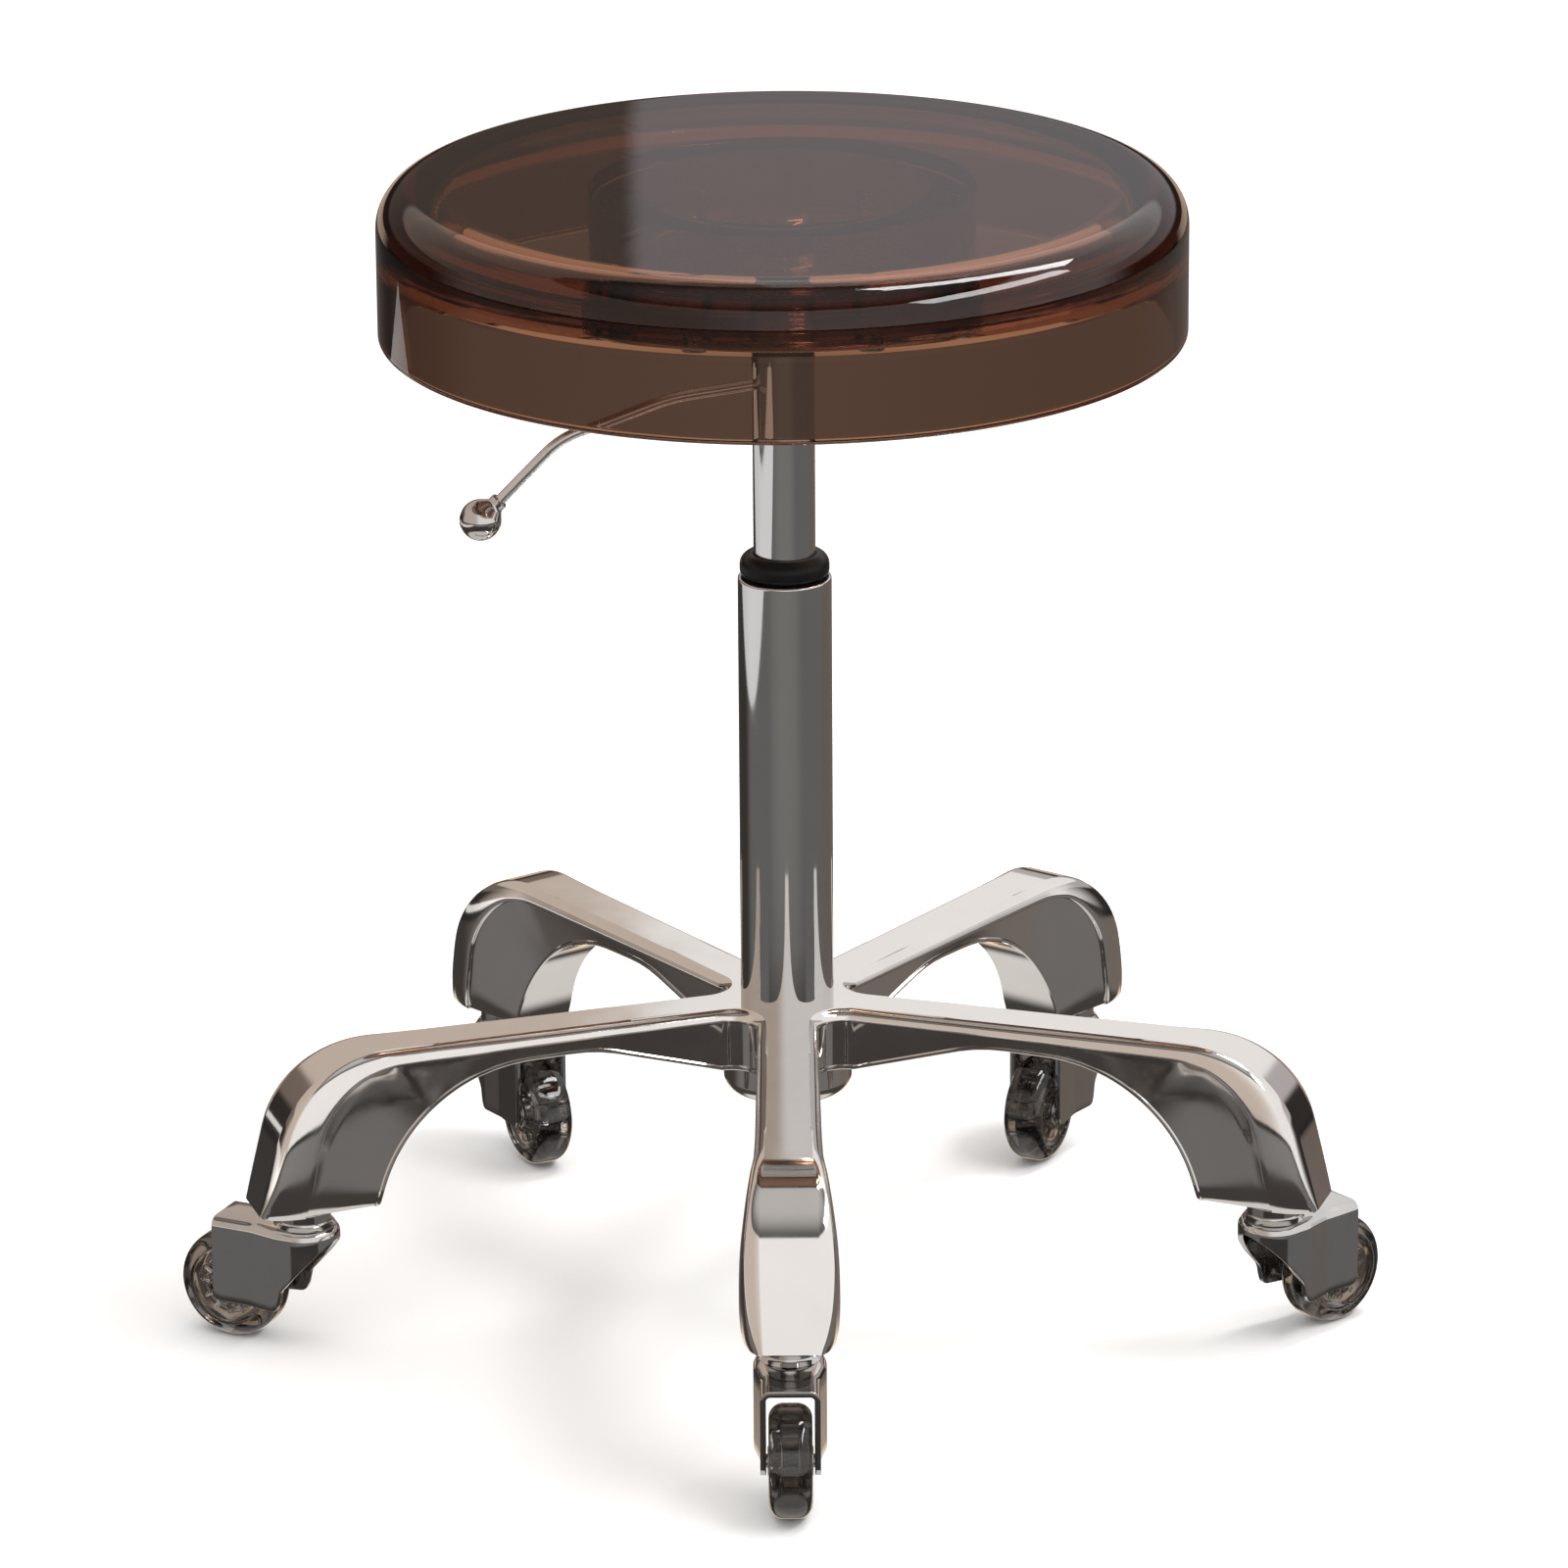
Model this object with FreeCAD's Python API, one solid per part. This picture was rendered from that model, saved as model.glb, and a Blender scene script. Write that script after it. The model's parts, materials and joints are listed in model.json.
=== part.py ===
import FreeCAD, Part

import math
import os

os.makedirs("parts", exist_ok=True)

# Millimetres, +Z up. The floor is z = 0, the column stands on the Z axis, and -Y is the stool's front.

# Clearances
RUNNING_CLEARANCE = 0.05   # radial, shafts that turn or slide in their bores
PASSING_CLEARANCE = 0.3    # faces of different moving groups that pass each other

# Seat
SEAT_DIAMETER = 360.0
SEAT_HEIGHT = 68.0
SEAT_TOP_WALL = 7.0
SEAT_SKIRT_WALL = 6.0
SEAT_EDGE_RADIUS = 18.0
SEAT_LIP_RADIUS = 2.5
RING_OUTER = 172.0
RING_INNER = 132.0
RING_HEIGHT = 32.0
PLATE_MARGIN = 2.0         # ring's rim beyond the plate's
PLATE_THICKNESS = 4.0
SCREW_COUNT = 6
SCREW_DIAMETER = 6.0
SCREW_GRIP = 14.0          # thread in the ring
SCREW_HEAD_DIAMETER = 11.0
SCREW_HEAD_HEIGHT = 4.0
SCREW_SOCKET = 4.0         # across the head's drive recess
SCREW_SOCKET_DEPTH = 2.0

# Post and gas spring
POST_OUTER = 28.0
POST_WALL = 2.0
POST_STANDOUT = 14.0       # above the plate
POST_TAIL = 4.0            # post below the guide bush, at the top of the lift
CAP_DOME = 6.0
CAP_ROUND = 5.0
CYLINDER_GAP = 1.0         # radial, tube inside the post
CYLINDER_WALL = 1.5
CYLINDER_SETBACK = 2.0     # tube's lower end inside the post
GLAND_LENGTH = 14.0
VALVE_HEAD_LENGTH = 20.0
VALVE_SPIGOT = 8.0
ROD_DIAMETER = 10.0
ROD_SPIGOT = 8.0
PISTON_LENGTH = 10.0
PISTON_CLEARANCE = 0.1
NUT_HEIGHT = 6.0
NUT_SETBACK = 2.0          # nut's corners inside the piston's rim
LIFT_UP = 60.0
LIFT_DOWN = 70.0
LIFT_MARGIN = 1.0          # left at each end of the lift

# Lever
LEVER_DROP = 23.5          # pivot below the seat's lower edge
LEVER_TO_WIPER = 9.5       # pivot above the wiper ring, with the seat at its lowest
LEVER_PIVOT_OFFSET = 9.0   # pivot to the post's axis
LEVER_PIN_DIAMETER = 3.0
LEVER_ROD = 5.0
LEVER_EYE = 8.0
LEVER_TIP = 3.0            # past the post's axis
LEVER_TRAVEL = 12.0        # degrees
LEVER_SLOT_CLEARANCE = 0.6
LEVER_BENDS = ((-50.0, -6.5, 80.0), (-100.0, -26.0, 40.0))   # x, height over the pivot, bend radius
KNOB_DIAMETER = 19.0
KNOB_X = -136.0
KNOB_RISE = -63.5          # over the pivot
KNOB_NECK = 8.0            # neck's diameter
KNOB_NECK_LENGTH = 13.0    # from the ball's centre
RELEASE_PIN = 5.0
RELEASE_GAP = 0.4          # under the lever's rod
RELEASE_STANDOUT = 6.2     # pin's tip above the valve head
RELEASE_GRIP = 14.0        # of the pin's length, inside the valve head
RELEASE_TIP_ROUND = 2.3

# Column
COLUMN_OUTER = 42.4
COLUMN_WALL = 2.0
COLUMN_LENGTH = 243.0
BUSH_LENGTH = 60.0
WIPER_HEIGHT = 11.0
WIPER_SETBACK = 0.95       # inside the column's outer wall
WIPER_ROUND = 4.5
WIPER_FOOT_ROUND = 1.0
PLUG_RECESS = 4.0
PLUG_THICKNESS = 8.0
CLIP_THICKNESS = 1.5
CLIP_OUTER = 14.0
CLIP_GROOVE = 7.0
CLIP_OPENING = 6.0
ROD_TAIL = 1.7             # below the clip
RACE_OUTER = 26.0
RACE_THICKNESS = 2.0
BALL_DIAMETER = 5.0
BALL_SPACING = 0.9         # between neighbouring balls
CAGE_THICKNESS = 2.0
CAGE_RIM = 1.2             # cage beyond its ball pockets
POCKET_CLEARANCE = 0.15
BUMP_STOP_OUTER = 22.0

# Star base
ARM_COUNT = 5
FIRST_ARM_AZIMUTH = 270.0
BASE_REACH = 254.0         # column axis to the foot's outer edge
ARM_RISE = 73.0            # foot's underside to the arm's flat top
ARM_WIDTH = 27.5
ARM_ROOT_DEPTH = 29.0
ARM_WAIST_DEPTH = 12.0
ARM_WAIST_AT = 95.0        # from the column axis
ARM_HEEL_DEPTH = 14.0      # under the arm's top, where the underside turns down to the foot
SHOULDER_RADIUS = 58.0
SHOULDER_SLOPE = 10.0      # foot's front leans out by this much from top to bottom
FOOT_WIDTH = 44.0
FOOT_LENGTH = 56.0
FOOT_CORNER = 12.0
FOOT_HEEL_LEAN = 15.0
HEEL_RADIUS = 76.0
FLARE_RADIUS = 38.0        # where the arm widens to its foot, in plan
FLARE_RUN = 38.0           # the widening's length along the arm
CROTCH_RADIUS = 12.0
HUB_WALL = 8.8
HUB_HEIGHT = 45.0
HUB_BORE_SETBACK = 2.0     # column's end above the hub's underside
CASTING_WALL = 6.0         # over the channel under each arm
CASTING_SIDE = 4.5         # beside it
CHANNEL_LEAN = 12.0        # channel's outer end, from its roof to its mouth

# Casters
WHEEL_DIAMETER = 50.0
WHEEL_WIDTH = 19.0
TYRE_THICKNESS = 7.0
TYRE_ROUND = 6.0
CORE_SETBACK = 1.5         # rim inside the tyre's side
CORE_RIM = 3.0
CORE_WEB = 6.0
SPOKE_COUNT = 6
SPOKE_HOLE = 5.6
AXLE_DIAMETER = 6.0
AXLE_SETBACK = 0.4
BEARING_OUTER = 13.0
BEARING_WIDTH = 5.0
BEARING_SEAT_WALL = 2.5
BEARING_STANDOUT = 0.4
TRAIL = 36.0
STEM_INSET = 24.0          # stem's axis in from the foot's outer edge
STEM_DIAMETER = 11.0
STEM_GRIP = 30.0           # inside the foot
STEM_HEAD_RIM = 2.5        # head beyond the stem
STEM_HEAD_HEIGHT = 3.0
WASHER_RIM = 6.5
WASHER_THICKNESS = 1.5
FORK_PLATE = 2.6
FORK_GAP = 1.0             # wheel's side to the fork's plate
FORK_CROWN = 6.0
FORK_CROWN_GAP = 3.0       # wheel's top to the crown
FORK_CROWN_ROUND = 4.5
FORK_NECK_HEIGHT = 7.2
FORK_NECK_WALL = 6.5
FORK_NOSE = 5.0            # plate beyond the axle
FORK_SKIRT = 6.0           # plate below the axle
FORK_CORNER = 4.0
FORK_HOOD = 16.0           # radius of the hood behind the stem
FORK_HOOD_REACH = 8.0      # where the hood starts to narrow, from the stem's axis
FORK_HOOD_TAPER = 14.0     # length over which it narrows to the plates
FORK_REAR_GAP = 2.0        # wheel's rear to the hood's rear wall
FORK_REAR_WALL = 3.0
FORK_REAR_DROP = 24.0      # hood's slanting rear edge, below the crown
TRAIL_AZIMUTHS = (270.0, 40.0, 245.0, 295.0, 155.0)   # rest direction of each caster, front one first

# Heights that follow from the stack of pieces, floor to seat
crown_bottom_z = WHEEL_DIAMETER + FORK_CROWN_GAP
crown_top_z = crown_bottom_z + FORK_CROWN
neck_top_z = crown_top_z + FORK_NECK_HEIGHT
foot_z = neck_top_z + PASSING_CLEARANCE + WASHER_THICKNESS
arm_top_z = foot_z + ARM_RISE
hub_z = arm_top_z - HUB_HEIGHT
column_z = hub_z + HUB_BORE_SETBACK
column_top_z = column_z + COLUMN_LENGTH
wiper_top_z = column_top_z + WIPER_HEIGHT
pivot_z = wiper_top_z + LEVER_TO_WIPER + LIFT_DOWN
seat_z = pivot_z + LEVER_DROP
seat_top_z = seat_z + SEAT_HEIGHT
ring_top_z = seat_top_z - SEAT_TOP_WALL
ring_z = ring_top_z - RING_HEIGHT
plate_z = ring_z - PLATE_THICKNESS

# Radii of the nested tubes
column_bore = COLUMN_OUTER / 2 - COLUMN_WALL
post_radius = POST_OUTER / 2
post_bore = post_radius - POST_WALL
cylinder_radius = post_bore - CYLINDER_GAP
cylinder_bore = cylinder_radius - CYLINDER_WALL
piston_radius = cylinder_bore - PISTON_CLEARANCE
hub_radius = COLUMN_OUTER / 2 + HUB_WALL
stem_circle = BASE_REACH - STEM_INSET

# Levels inside the column
post_z = column_top_z - BUSH_LENGTH - LIFT_UP - POST_TAIL
cylinder_z = post_z + CYLINDER_SETBACK
plug_z = column_z + PLUG_RECESS
plug_top_z = plug_z + PLUG_THICKNESS
lower_race_top_z = plug_top_z + RACE_THICKNESS
upper_race_z = lower_race_top_z + BALL_DIAMETER + RUNNING_CLEARANCE
rod_z = upper_race_z + RACE_THICKNESS
bump_stop_top_z = post_z - LIFT_DOWN - LIFT_MARGIN
piston_z = cylinder_z + GLAND_LENGTH + LIFT_UP + LIFT_MARGIN

UP = FreeCAD.Vector(0, 0, 1)


def vec(x, y, z):
    return FreeCAD.Vector(x, y, z)


def save(name, *solids):
    """Write one node: a single solid, or a group of separate ones."""
    shape = solids[0] if len(solids) == 1 else Part.makeCompound(list(solids))
    shape.exportStep("parts/" + name + ".step")


def cylinder(radius, low, high, at=(0, 0)):
    return Part.makeCylinder(radius, high - low, vec(at[0], at[1], low), UP)


def tube(outer, inner, low, high, at=(0, 0)):
    return cylinder(outer, low, high, at).cut(cylinder(inner, low, high, at))


def cross_cylinder(radius, half_length, x, z):
    """A cylinder along Y, centred on the XZ plane."""
    return Part.makeCylinder(radius, 2 * half_length, vec(x, -half_length, z), vec(0, 1, 0))


def block(low, high):
    size = [b - a for a, b in zip(low, high)]
    return Part.makeBox(*size, vec(*low))


def joined(shapes):
    """One solid from overlapping ones."""
    return shapes[0].fuse(list(shapes[1:])).removeSplitter()


def rounded_path(corners, lift, closed=True):
    """A wire through corners (a, b, radius), rounded to their radii; lift makes (a, b) a point in space.

    Where two neighbouring roundings need more than the straight run between them, both shrink to fit it.
    """
    flat = [vec(a, b, 0) for a, b, _ in corners]
    count = len(corners)
    tangents = []
    for i, here in enumerate(flat):
        before = flat[i - 1] - here
        after = flat[(i + 1) % count] - here
        tangents.append(math.tan(before.getAngle(after) / 2))
    runs = [corner[2] / tangent if corner[2] else 0.0 for corner, tangent in zip(corners, tangents)]
    lengths = [flat[i].distanceToPoint(flat[(i + 1) % count]) for i in range(count)]
    shares = []
    for i in range(count):
        wanted = runs[i] + runs[(i + 1) % count]
        shares.append(1.0 if wanted <= lengths[i] else lengths[i] / wanted)
    turns = []
    for i, here in enumerate(flat):
        is_end = not closed and i in (0, count - 1)
        run = runs[i] * min(shares[i - 1], shares[i])
        if run == 0 or is_end:
            turns.append([here])
            continue
        before = (flat[i - 1] - here).normalize()
        after = (flat[(i + 1) % count] - here).normalize()
        half_angle = before.getAngle(after) / 2
        inward = (before + after).normalize()
        radius = run * tangents[i]
        middle = here + inward * (radius / math.sin(half_angle) - radius)
        turns.append([here + before * run, middle, here + after * run])
    edges = []
    for i, turn in enumerate(turns):
        points = [lift(p.x, p.y) for p in turn]
        if len(points) == 3:
            edges.append(Part.Arc(*points).toShape())
        if closed or i < count - 1:
            following = turns[(i + 1) % count][0]
            end = lift(following.x, following.y)
            if points[-1].distanceToPoint(end) > 1e-6:
                edges.append(Part.LineSegment(points[-1], end).toShape())
    return Part.Wire(edges)


def upright(a, b):
    return vec(a, 0, b)


def level(a, b):
    return vec(a, b, 0)


def turned(corners):
    """Solid of revolution about Z from corners (radius, height, rounding)."""
    return Part.Face(rounded_path(corners, upright)).revolve(vec(0, 0, 0), UP, 360)


def upright_slab(corners, half_width):
    """An outline in the XZ plane, given thickness both ways along Y."""
    face = Part.Face(rounded_path(corners, upright))
    slab = face.extrude(vec(0, 2 * half_width, 0))
    slab.translate(vec(0, -half_width, 0))
    return slab


def level_slab(corners, low, high):
    """An outline in the XY plane, given height."""
    slab = Part.Face(rounded_path(corners, level)).extrude(vec(0, 0, high - low))
    slab.translate(vec(0, 0, low))
    return slab


def rotated(shape, degrees):
    copy = shape.copy()
    copy.rotate(vec(0, 0, 0), UP, degrees)
    return copy


def ring_of(count, radius, start=0.0):
    """Centres of a round pattern."""
    angles = [math.radians(start + 360.0 * i / count) for i in range(count)]
    return [(radius * math.cos(a), radius * math.sin(a)) for a in angles]


# Seat: shell, ring, plate and screws
def make_seat():
    radius = SEAT_DIAMETER / 2
    inner = radius - SEAT_SKIRT_WALL
    inner_round = SEAT_EDGE_RADIUS - SEAT_SKIRT_WALL
    shell = turned([
        (0, ring_top_z, 0),
        (inner, ring_top_z, inner_round),
        (inner, seat_z, SEAT_LIP_RADIUS),
        (radius, seat_z, SEAT_LIP_RADIUS),
        (radius, seat_top_z, SEAT_EDGE_RADIUS),
        (0, seat_top_z, 0),
    ])
    save("seat_shell", shell)

    centres = ring_of(SCREW_COUNT, (RING_OUTER + RING_INNER) / 4)
    ring = tube(RING_OUTER / 2, RING_INNER / 2, ring_z, ring_top_z)
    plate = tube(RING_OUTER / 2 - PLATE_MARGIN, post_radius, plate_z, ring_z)
    screws = []
    for centre in centres:
        shank = cylinder(SCREW_DIAMETER / 2, plate_z, ring_z + SCREW_GRIP, centre)
        head = cylinder(SCREW_HEAD_DIAMETER / 2, plate_z - SCREW_HEAD_HEIGHT, plate_z, centre)
        recess_top = plate_z - SCREW_HEAD_HEIGHT + SCREW_SOCKET_DEPTH
        recess = cylinder(SCREW_SOCKET / 2, plate_z - SCREW_HEAD_HEIGHT, recess_top, centre)
        ring = ring.cut(shank)
        plate = plate.cut(shank)
        screws.append(shank.fuse(head).removeSplitter().cut(recess))
    save("seat_ring", ring)
    save("mount_plate", plate)
    save("plate_screws", *screws)


# Post: the tube that rises and turns, with its cap and the lever's slot and pin
def make_post():
    top_z = plate_z + PLATE_THICKNESS + POST_STANDOUT
    post = tube(post_radius, post_bore, post_z, top_z)
    pin = cross_cylinder(LEVER_PIN_DIAMETER / 2, post_radius, -LEVER_PIVOT_OFFSET, pivot_z)
    pin = pin.common(cylinder(post_radius, pivot_z - LEVER_ROD, pivot_z + LEVER_ROD))
    half_slot = LEVER_ROD / 2 + LEVER_SLOT_CLEARANCE
    swing = (post_radius - LEVER_PIVOT_OFFSET) * math.sin(math.radians(LEVER_TRAVEL))
    slot = block(
        (-post_radius - LEVER_ROD, -half_slot, pivot_z - LEVER_EYE / 2 - LEVER_SLOT_CLEARANCE),
        (-LEVER_PIVOT_OFFSET, half_slot, pivot_z + LEVER_EYE / 2 + LEVER_SLOT_CLEARANCE + swing),
    )
    save("seat_post", post.cut(slot).cut(pin))
    save("lever_pin", pin)

    cap = turned([
        (0, top_z - CAP_DOME, 0),
        (post_bore, top_z - CAP_DOME, 0),
        (post_bore, top_z, 0),
        (post_radius, top_z, 0),
        (post_radius, top_z + CAP_DOME, CAP_ROUND),
        (0, top_z + CAP_DOME, 0),
    ])
    save("post_cap", cap)


# Gas spring: cylinder side, which rises with the post
def make_gas_cylinder():
    release_top_z = release_pin_top()
    head_top_z = release_top_z - RELEASE_STANDOUT
    head_z = head_top_z - VALVE_HEAD_LENGTH
    save("gas_cylinder", tube(cylinder_radius, cylinder_bore, cylinder_z, head_z))

    gland_bore = ROD_DIAMETER / 2 + RUNNING_CLEARANCE
    save("cylinder_gland", tube(cylinder_bore, gland_bore, cylinder_z, cylinder_z + GLAND_LENGTH))

    pin_bottom_z = head_top_z - RELEASE_GRIP
    pin_travel = LEVER_PIVOT_OFFSET * math.radians(LEVER_TRAVEL)
    bore_bottom_z = pin_bottom_z - pin_travel - PASSING_CLEARANCE
    head = cylinder(post_bore, head_z, head_top_z)
    head = head.fuse(cylinder(cylinder_bore, head_z - VALVE_SPIGOT, head_z)).removeSplitter()
    bore = cylinder(RELEASE_PIN / 2 + RUNNING_CLEARANCE, bore_bottom_z, head_top_z)
    save("valve_head", head.cut(bore))

    pin = turned([
        (0, pin_bottom_z, 0),
        (RELEASE_PIN / 2, pin_bottom_z, 0),
        (RELEASE_PIN / 2, release_top_z, RELEASE_TIP_ROUND),
        (0, release_top_z, 0),
    ])
    save("release_pin", pin)


def lever_slope():
    """Fall of the lever's rod where it passes through the post."""
    x, rise, _ = LEVER_BENDS[0]
    return math.atan2(-rise, -x - LEVER_PIVOT_OFFSET)


def release_pin_top():
    """The release pin ends a gap below the lever's rod, on the post's axis."""
    axis_rise = LEVER_PIVOT_OFFSET * math.tan(lever_slope())
    return pivot_z + axis_rise - LEVER_ROD / 2 / math.cos(lever_slope()) - RELEASE_GAP


# Lever: a bent rod with an eye on the cross pin, and a ball on its end
def make_lever():
    tip_rise = (LEVER_PIVOT_OFFSET + LEVER_TIP) * math.tan(lever_slope())
    corners = [(LEVER_TIP, pivot_z + tip_rise, 0)]
    corners += [(x, pivot_z + rise, radius) for x, rise, radius in LEVER_BENDS]
    corners.append((KNOB_X, pivot_z + KNOB_RISE, 0))
    path = rounded_path(corners, upright, closed=False)
    start = path.Edges[0]
    tangent = start.tangentAt(start.FirstParameter)
    section = Part.Wire(Part.makeCircle(LEVER_ROD / 2, start.Vertexes[0].Point, tangent))
    rod = path.makePipeShell([section], True, False)
    eye = cross_cylinder(LEVER_EYE / 2, LEVER_ROD / 2, -LEVER_PIVOT_OFFSET, pivot_z)
    pin_bore = LEVER_PIN_DIAMETER / 2 + RUNNING_CLEARANCE
    rod = rod.fuse(eye).cut(cross_cylinder(pin_bore, LEVER_ROD, -LEVER_PIVOT_OFFSET, pivot_z))
    save("lever_rod", rod)

    centre = vec(KNOB_X, 0, pivot_z + KNOB_RISE)
    last_x, last_rise, _ = LEVER_BENDS[-1]
    inward = vec(last_x - KNOB_X, 0, last_rise - KNOB_RISE).normalize()
    ball = Part.makeSphere(KNOB_DIAMETER / 2, centre)
    neck = Part.makeCylinder(KNOB_NECK / 2, KNOB_NECK_LENGTH, centre, inward)
    save("lever_knob", ball.fuse(neck).removeSplitter().cut(rod))


# Gas spring: rod side, which turns with the seat but stays at one height
def make_spindle():
    rod_radius = ROD_DIAMETER / 2
    spigot = ROD_SPIGOT / 2
    groove = CLIP_GROOVE / 2
    clip_top_z = plug_z - PASSING_CLEARANCE
    clip_z = clip_top_z - CLIP_THICKNESS
    tail_z = clip_z - ROD_TAIL
    nut_z = piston_z + PISTON_LENGTH
    rod_top_z = nut_z + NUT_HEIGHT
    rod = turned([
        (0, tail_z, 0),
        (spigot, tail_z, 0),
        (spigot, clip_z, 0),
        (groove, clip_z, 0),
        (groove, clip_top_z, 0),
        (spigot, clip_top_z, 0),
        (spigot, rod_z, 0),
        (rod_radius, rod_z, 0),
        (rod_radius, piston_z, 0),
        (spigot, piston_z, 0),
        (spigot, rod_top_z, 0),
        (0, rod_top_z, 0),
    ])
    save("piston_rod", rod)
    save("piston", tube(piston_radius, spigot, piston_z, nut_z))

    hexagon = [(x, y, 0) for x, y in ring_of(6, piston_radius - NUT_SETBACK)]
    save("piston_nut", level_slab(hexagon, nut_z, rod_top_z).cut(cylinder(spigot, nut_z, rod_top_z)))

    save("upper_race", tube(RACE_OUTER / 2, spigot, upper_race_z, rod_z))
    save("bump_stop", tube(BUMP_STOP_OUTER / 2, rod_radius, rod_z, bump_stop_top_z))

    clip = tube(CLIP_OUTER / 2, groove, clip_z, clip_top_z)
    opening = block((0, -CLIP_OPENING / 2, clip_z), (CLIP_OUTER, CLIP_OPENING / 2, clip_top_z))
    save("rod_clip", clip.cut(opening))


# Column: tube, guide bush, wiper, and the thrust bearing that the rod stands on
def make_column():
    save("column_tube", tube(COLUMN_OUTER / 2, column_bore, column_z, column_top_z))
    post_fit = post_radius + RUNNING_CLEARANCE
    save("guide_bush", tube(column_bore, post_fit, column_top_z - BUSH_LENGTH, column_top_z))

    wiper_outer = COLUMN_OUTER / 2 - WIPER_SETBACK
    wiper = turned([
        (post_fit, column_top_z, 0),
        (wiper_outer, column_top_z, WIPER_FOOT_ROUND),
        (wiper_outer, wiper_top_z, WIPER_ROUND),
        (post_fit, wiper_top_z, 0),
    ])
    save("wiper_ring", wiper)

    rod_fit = ROD_SPIGOT / 2 + RUNNING_CLEARANCE
    save("column_plug", tube(column_bore, rod_fit, plug_z, plug_top_z))
    save("lower_race", tube(RACE_OUTER / 2, rod_fit, plug_top_z, lower_race_top_z))

    ball_radius = BALL_DIAMETER / 2
    ball_circle = (RACE_OUTER / 2 + rod_fit) / 2
    centre_z = lower_race_top_z + ball_radius
    pocket = ball_radius + POCKET_CLEARANCE
    cage_low = centre_z - CAGE_THICKNESS / 2
    cage_high = centre_z + CAGE_THICKNESS / 2
    cage = tube(ball_circle + pocket + CAGE_RIM, ball_circle - pocket - CAGE_RIM, cage_low, cage_high)
    ball_count = int(2 * math.pi * ball_circle / (BALL_DIAMETER + BALL_SPACING))
    balls = []
    for x, y in ring_of(ball_count, ball_circle):
        cage = cage.cut(cylinder(pocket, cage_low, cage_high, (x, y)))
        balls.append(Part.makeSphere(ball_radius, vec(x, y, centre_z)))
    save("bearing_cage", cage)
    save("thrust_balls", *balls)


# Star base: one casting with its hub, arms and feet
def arm_solid():
    """One arm along +X: its side outline and its plan outline have this solid in common."""
    shoulder_x = BASE_REACH - SHOULDER_SLOPE
    heel_x = BASE_REACH - FOOT_LENGTH
    side = upright_slab([
        (0, arm_top_z, 0),
        (shoulder_x, arm_top_z, SHOULDER_RADIUS),
        (BASE_REACH, foot_z, 0),
        (heel_x, foot_z, 0),
        (heel_x - FOOT_HEEL_LEAN, arm_top_z - ARM_HEEL_DEPTH, HEEL_RADIUS),
        (ARM_WAIST_AT, arm_top_z - ARM_WAIST_DEPTH, HEEL_RADIUS),
        (hub_radius, arm_top_z - ARM_ROOT_DEPTH, 0),
        (0, arm_top_z - ARM_ROOT_DEPTH, 0),
    ], FOOT_WIDTH)
    half_arm = ARM_WIDTH / 2
    half_foot = FOOT_WIDTH / 2
    flare_end = stem_circle
    flare_start = flare_end - FLARE_RUN
    plan = level_slab([
        (0, -half_arm, 0),
        (flare_start, -half_arm, FLARE_RADIUS),
        (flare_end, -half_foot, FLARE_RADIUS),
        (BASE_REACH, -half_foot, FOOT_CORNER),
        (BASE_REACH, half_foot, FOOT_CORNER),
        (flare_end, half_foot, FLARE_RADIUS),
        (flare_start, half_arm, FLARE_RADIUS),
        (0, half_arm, 0),
    ], foot_z, arm_top_z)
    arm = side.common(plan)
    channel_top = arm_top_z - CASTING_WALL
    channel_end = heel_x - FOOT_HEEL_LEAN + CASTING_WALL
    channel = upright_slab([
        (hub_radius, foot_z, 0),
        (hub_radius, channel_top, 0),
        (channel_end - CHANNEL_LEAN, channel_top, FLARE_RADIUS),
        (channel_end, foot_z, 0),
    ], half_arm - CASTING_SIDE)
    socket = cylinder(STEM_DIAMETER / 2, foot_z, foot_z + STEM_GRIP, (stem_circle, 0))
    return arm.cut(channel).cut(socket)


def hub_plate():
    """Flat star round the hub, with a rounded crotch between each two arms."""
    half_step = math.pi / ARM_COUNT
    half_arm = ARM_WIDTH / 2
    crotch = half_arm / math.sin(half_step)
    arm_end = (half_arm + CROTCH_RADIUS) / math.tan(half_step) + CASTING_WALL
    corners = []
    for i in range(ARM_COUNT):
        along = 2 * half_step * i
        ahead = (math.cos(along), math.sin(along))
        for side in (-1, 1):
            x = arm_end * ahead[0] - side * half_arm * ahead[1]
            y = arm_end * ahead[1] + side * half_arm * ahead[0]
            corners.append((x, y, 0))
        between = along + half_step
        corners.append((crotch * math.cos(between), crotch * math.sin(between), CROTCH_RADIUS))
    return level_slab(corners, arm_top_z - CASTING_WALL, arm_top_z)


def make_base():
    arm = arm_solid()
    step = 360.0 / ARM_COUNT
    pieces = [cylinder(hub_radius, hub_z, arm_top_z), hub_plate()]
    pieces += [rotated(arm, step * i) for i in range(ARM_COUNT)]
    base = joined(pieces).cut(cylinder(COLUMN_OUTER / 2, hub_z, arm_top_z))
    save("star_base", rotated(base, FIRST_ARM_AZIMUTH))

    stems = []
    washers = []
    head_top_z = crown_bottom_z - RUNNING_CLEARANCE
    head_z = head_top_z - STEM_HEAD_HEIGHT
    for centre in ring_of(ARM_COUNT, stem_circle, FIRST_ARM_AZIMUTH):
        shank = cylinder(STEM_DIAMETER / 2, head_z, foot_z + STEM_GRIP, centre)
        head = cylinder(STEM_DIAMETER / 2 + STEM_HEAD_RIM, head_z, head_top_z, centre)
        stems.append(shank.fuse(head).removeSplitter())
        washer_outer = STEM_DIAMETER / 2 + WASHER_RIM
        washers.append(tube(washer_outer, STEM_DIAMETER / 2, foot_z - WASHER_THICKNESS, foot_z, centre))
    save("caster_stems", *stems)
    save("swivel_washers", *washers)


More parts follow.
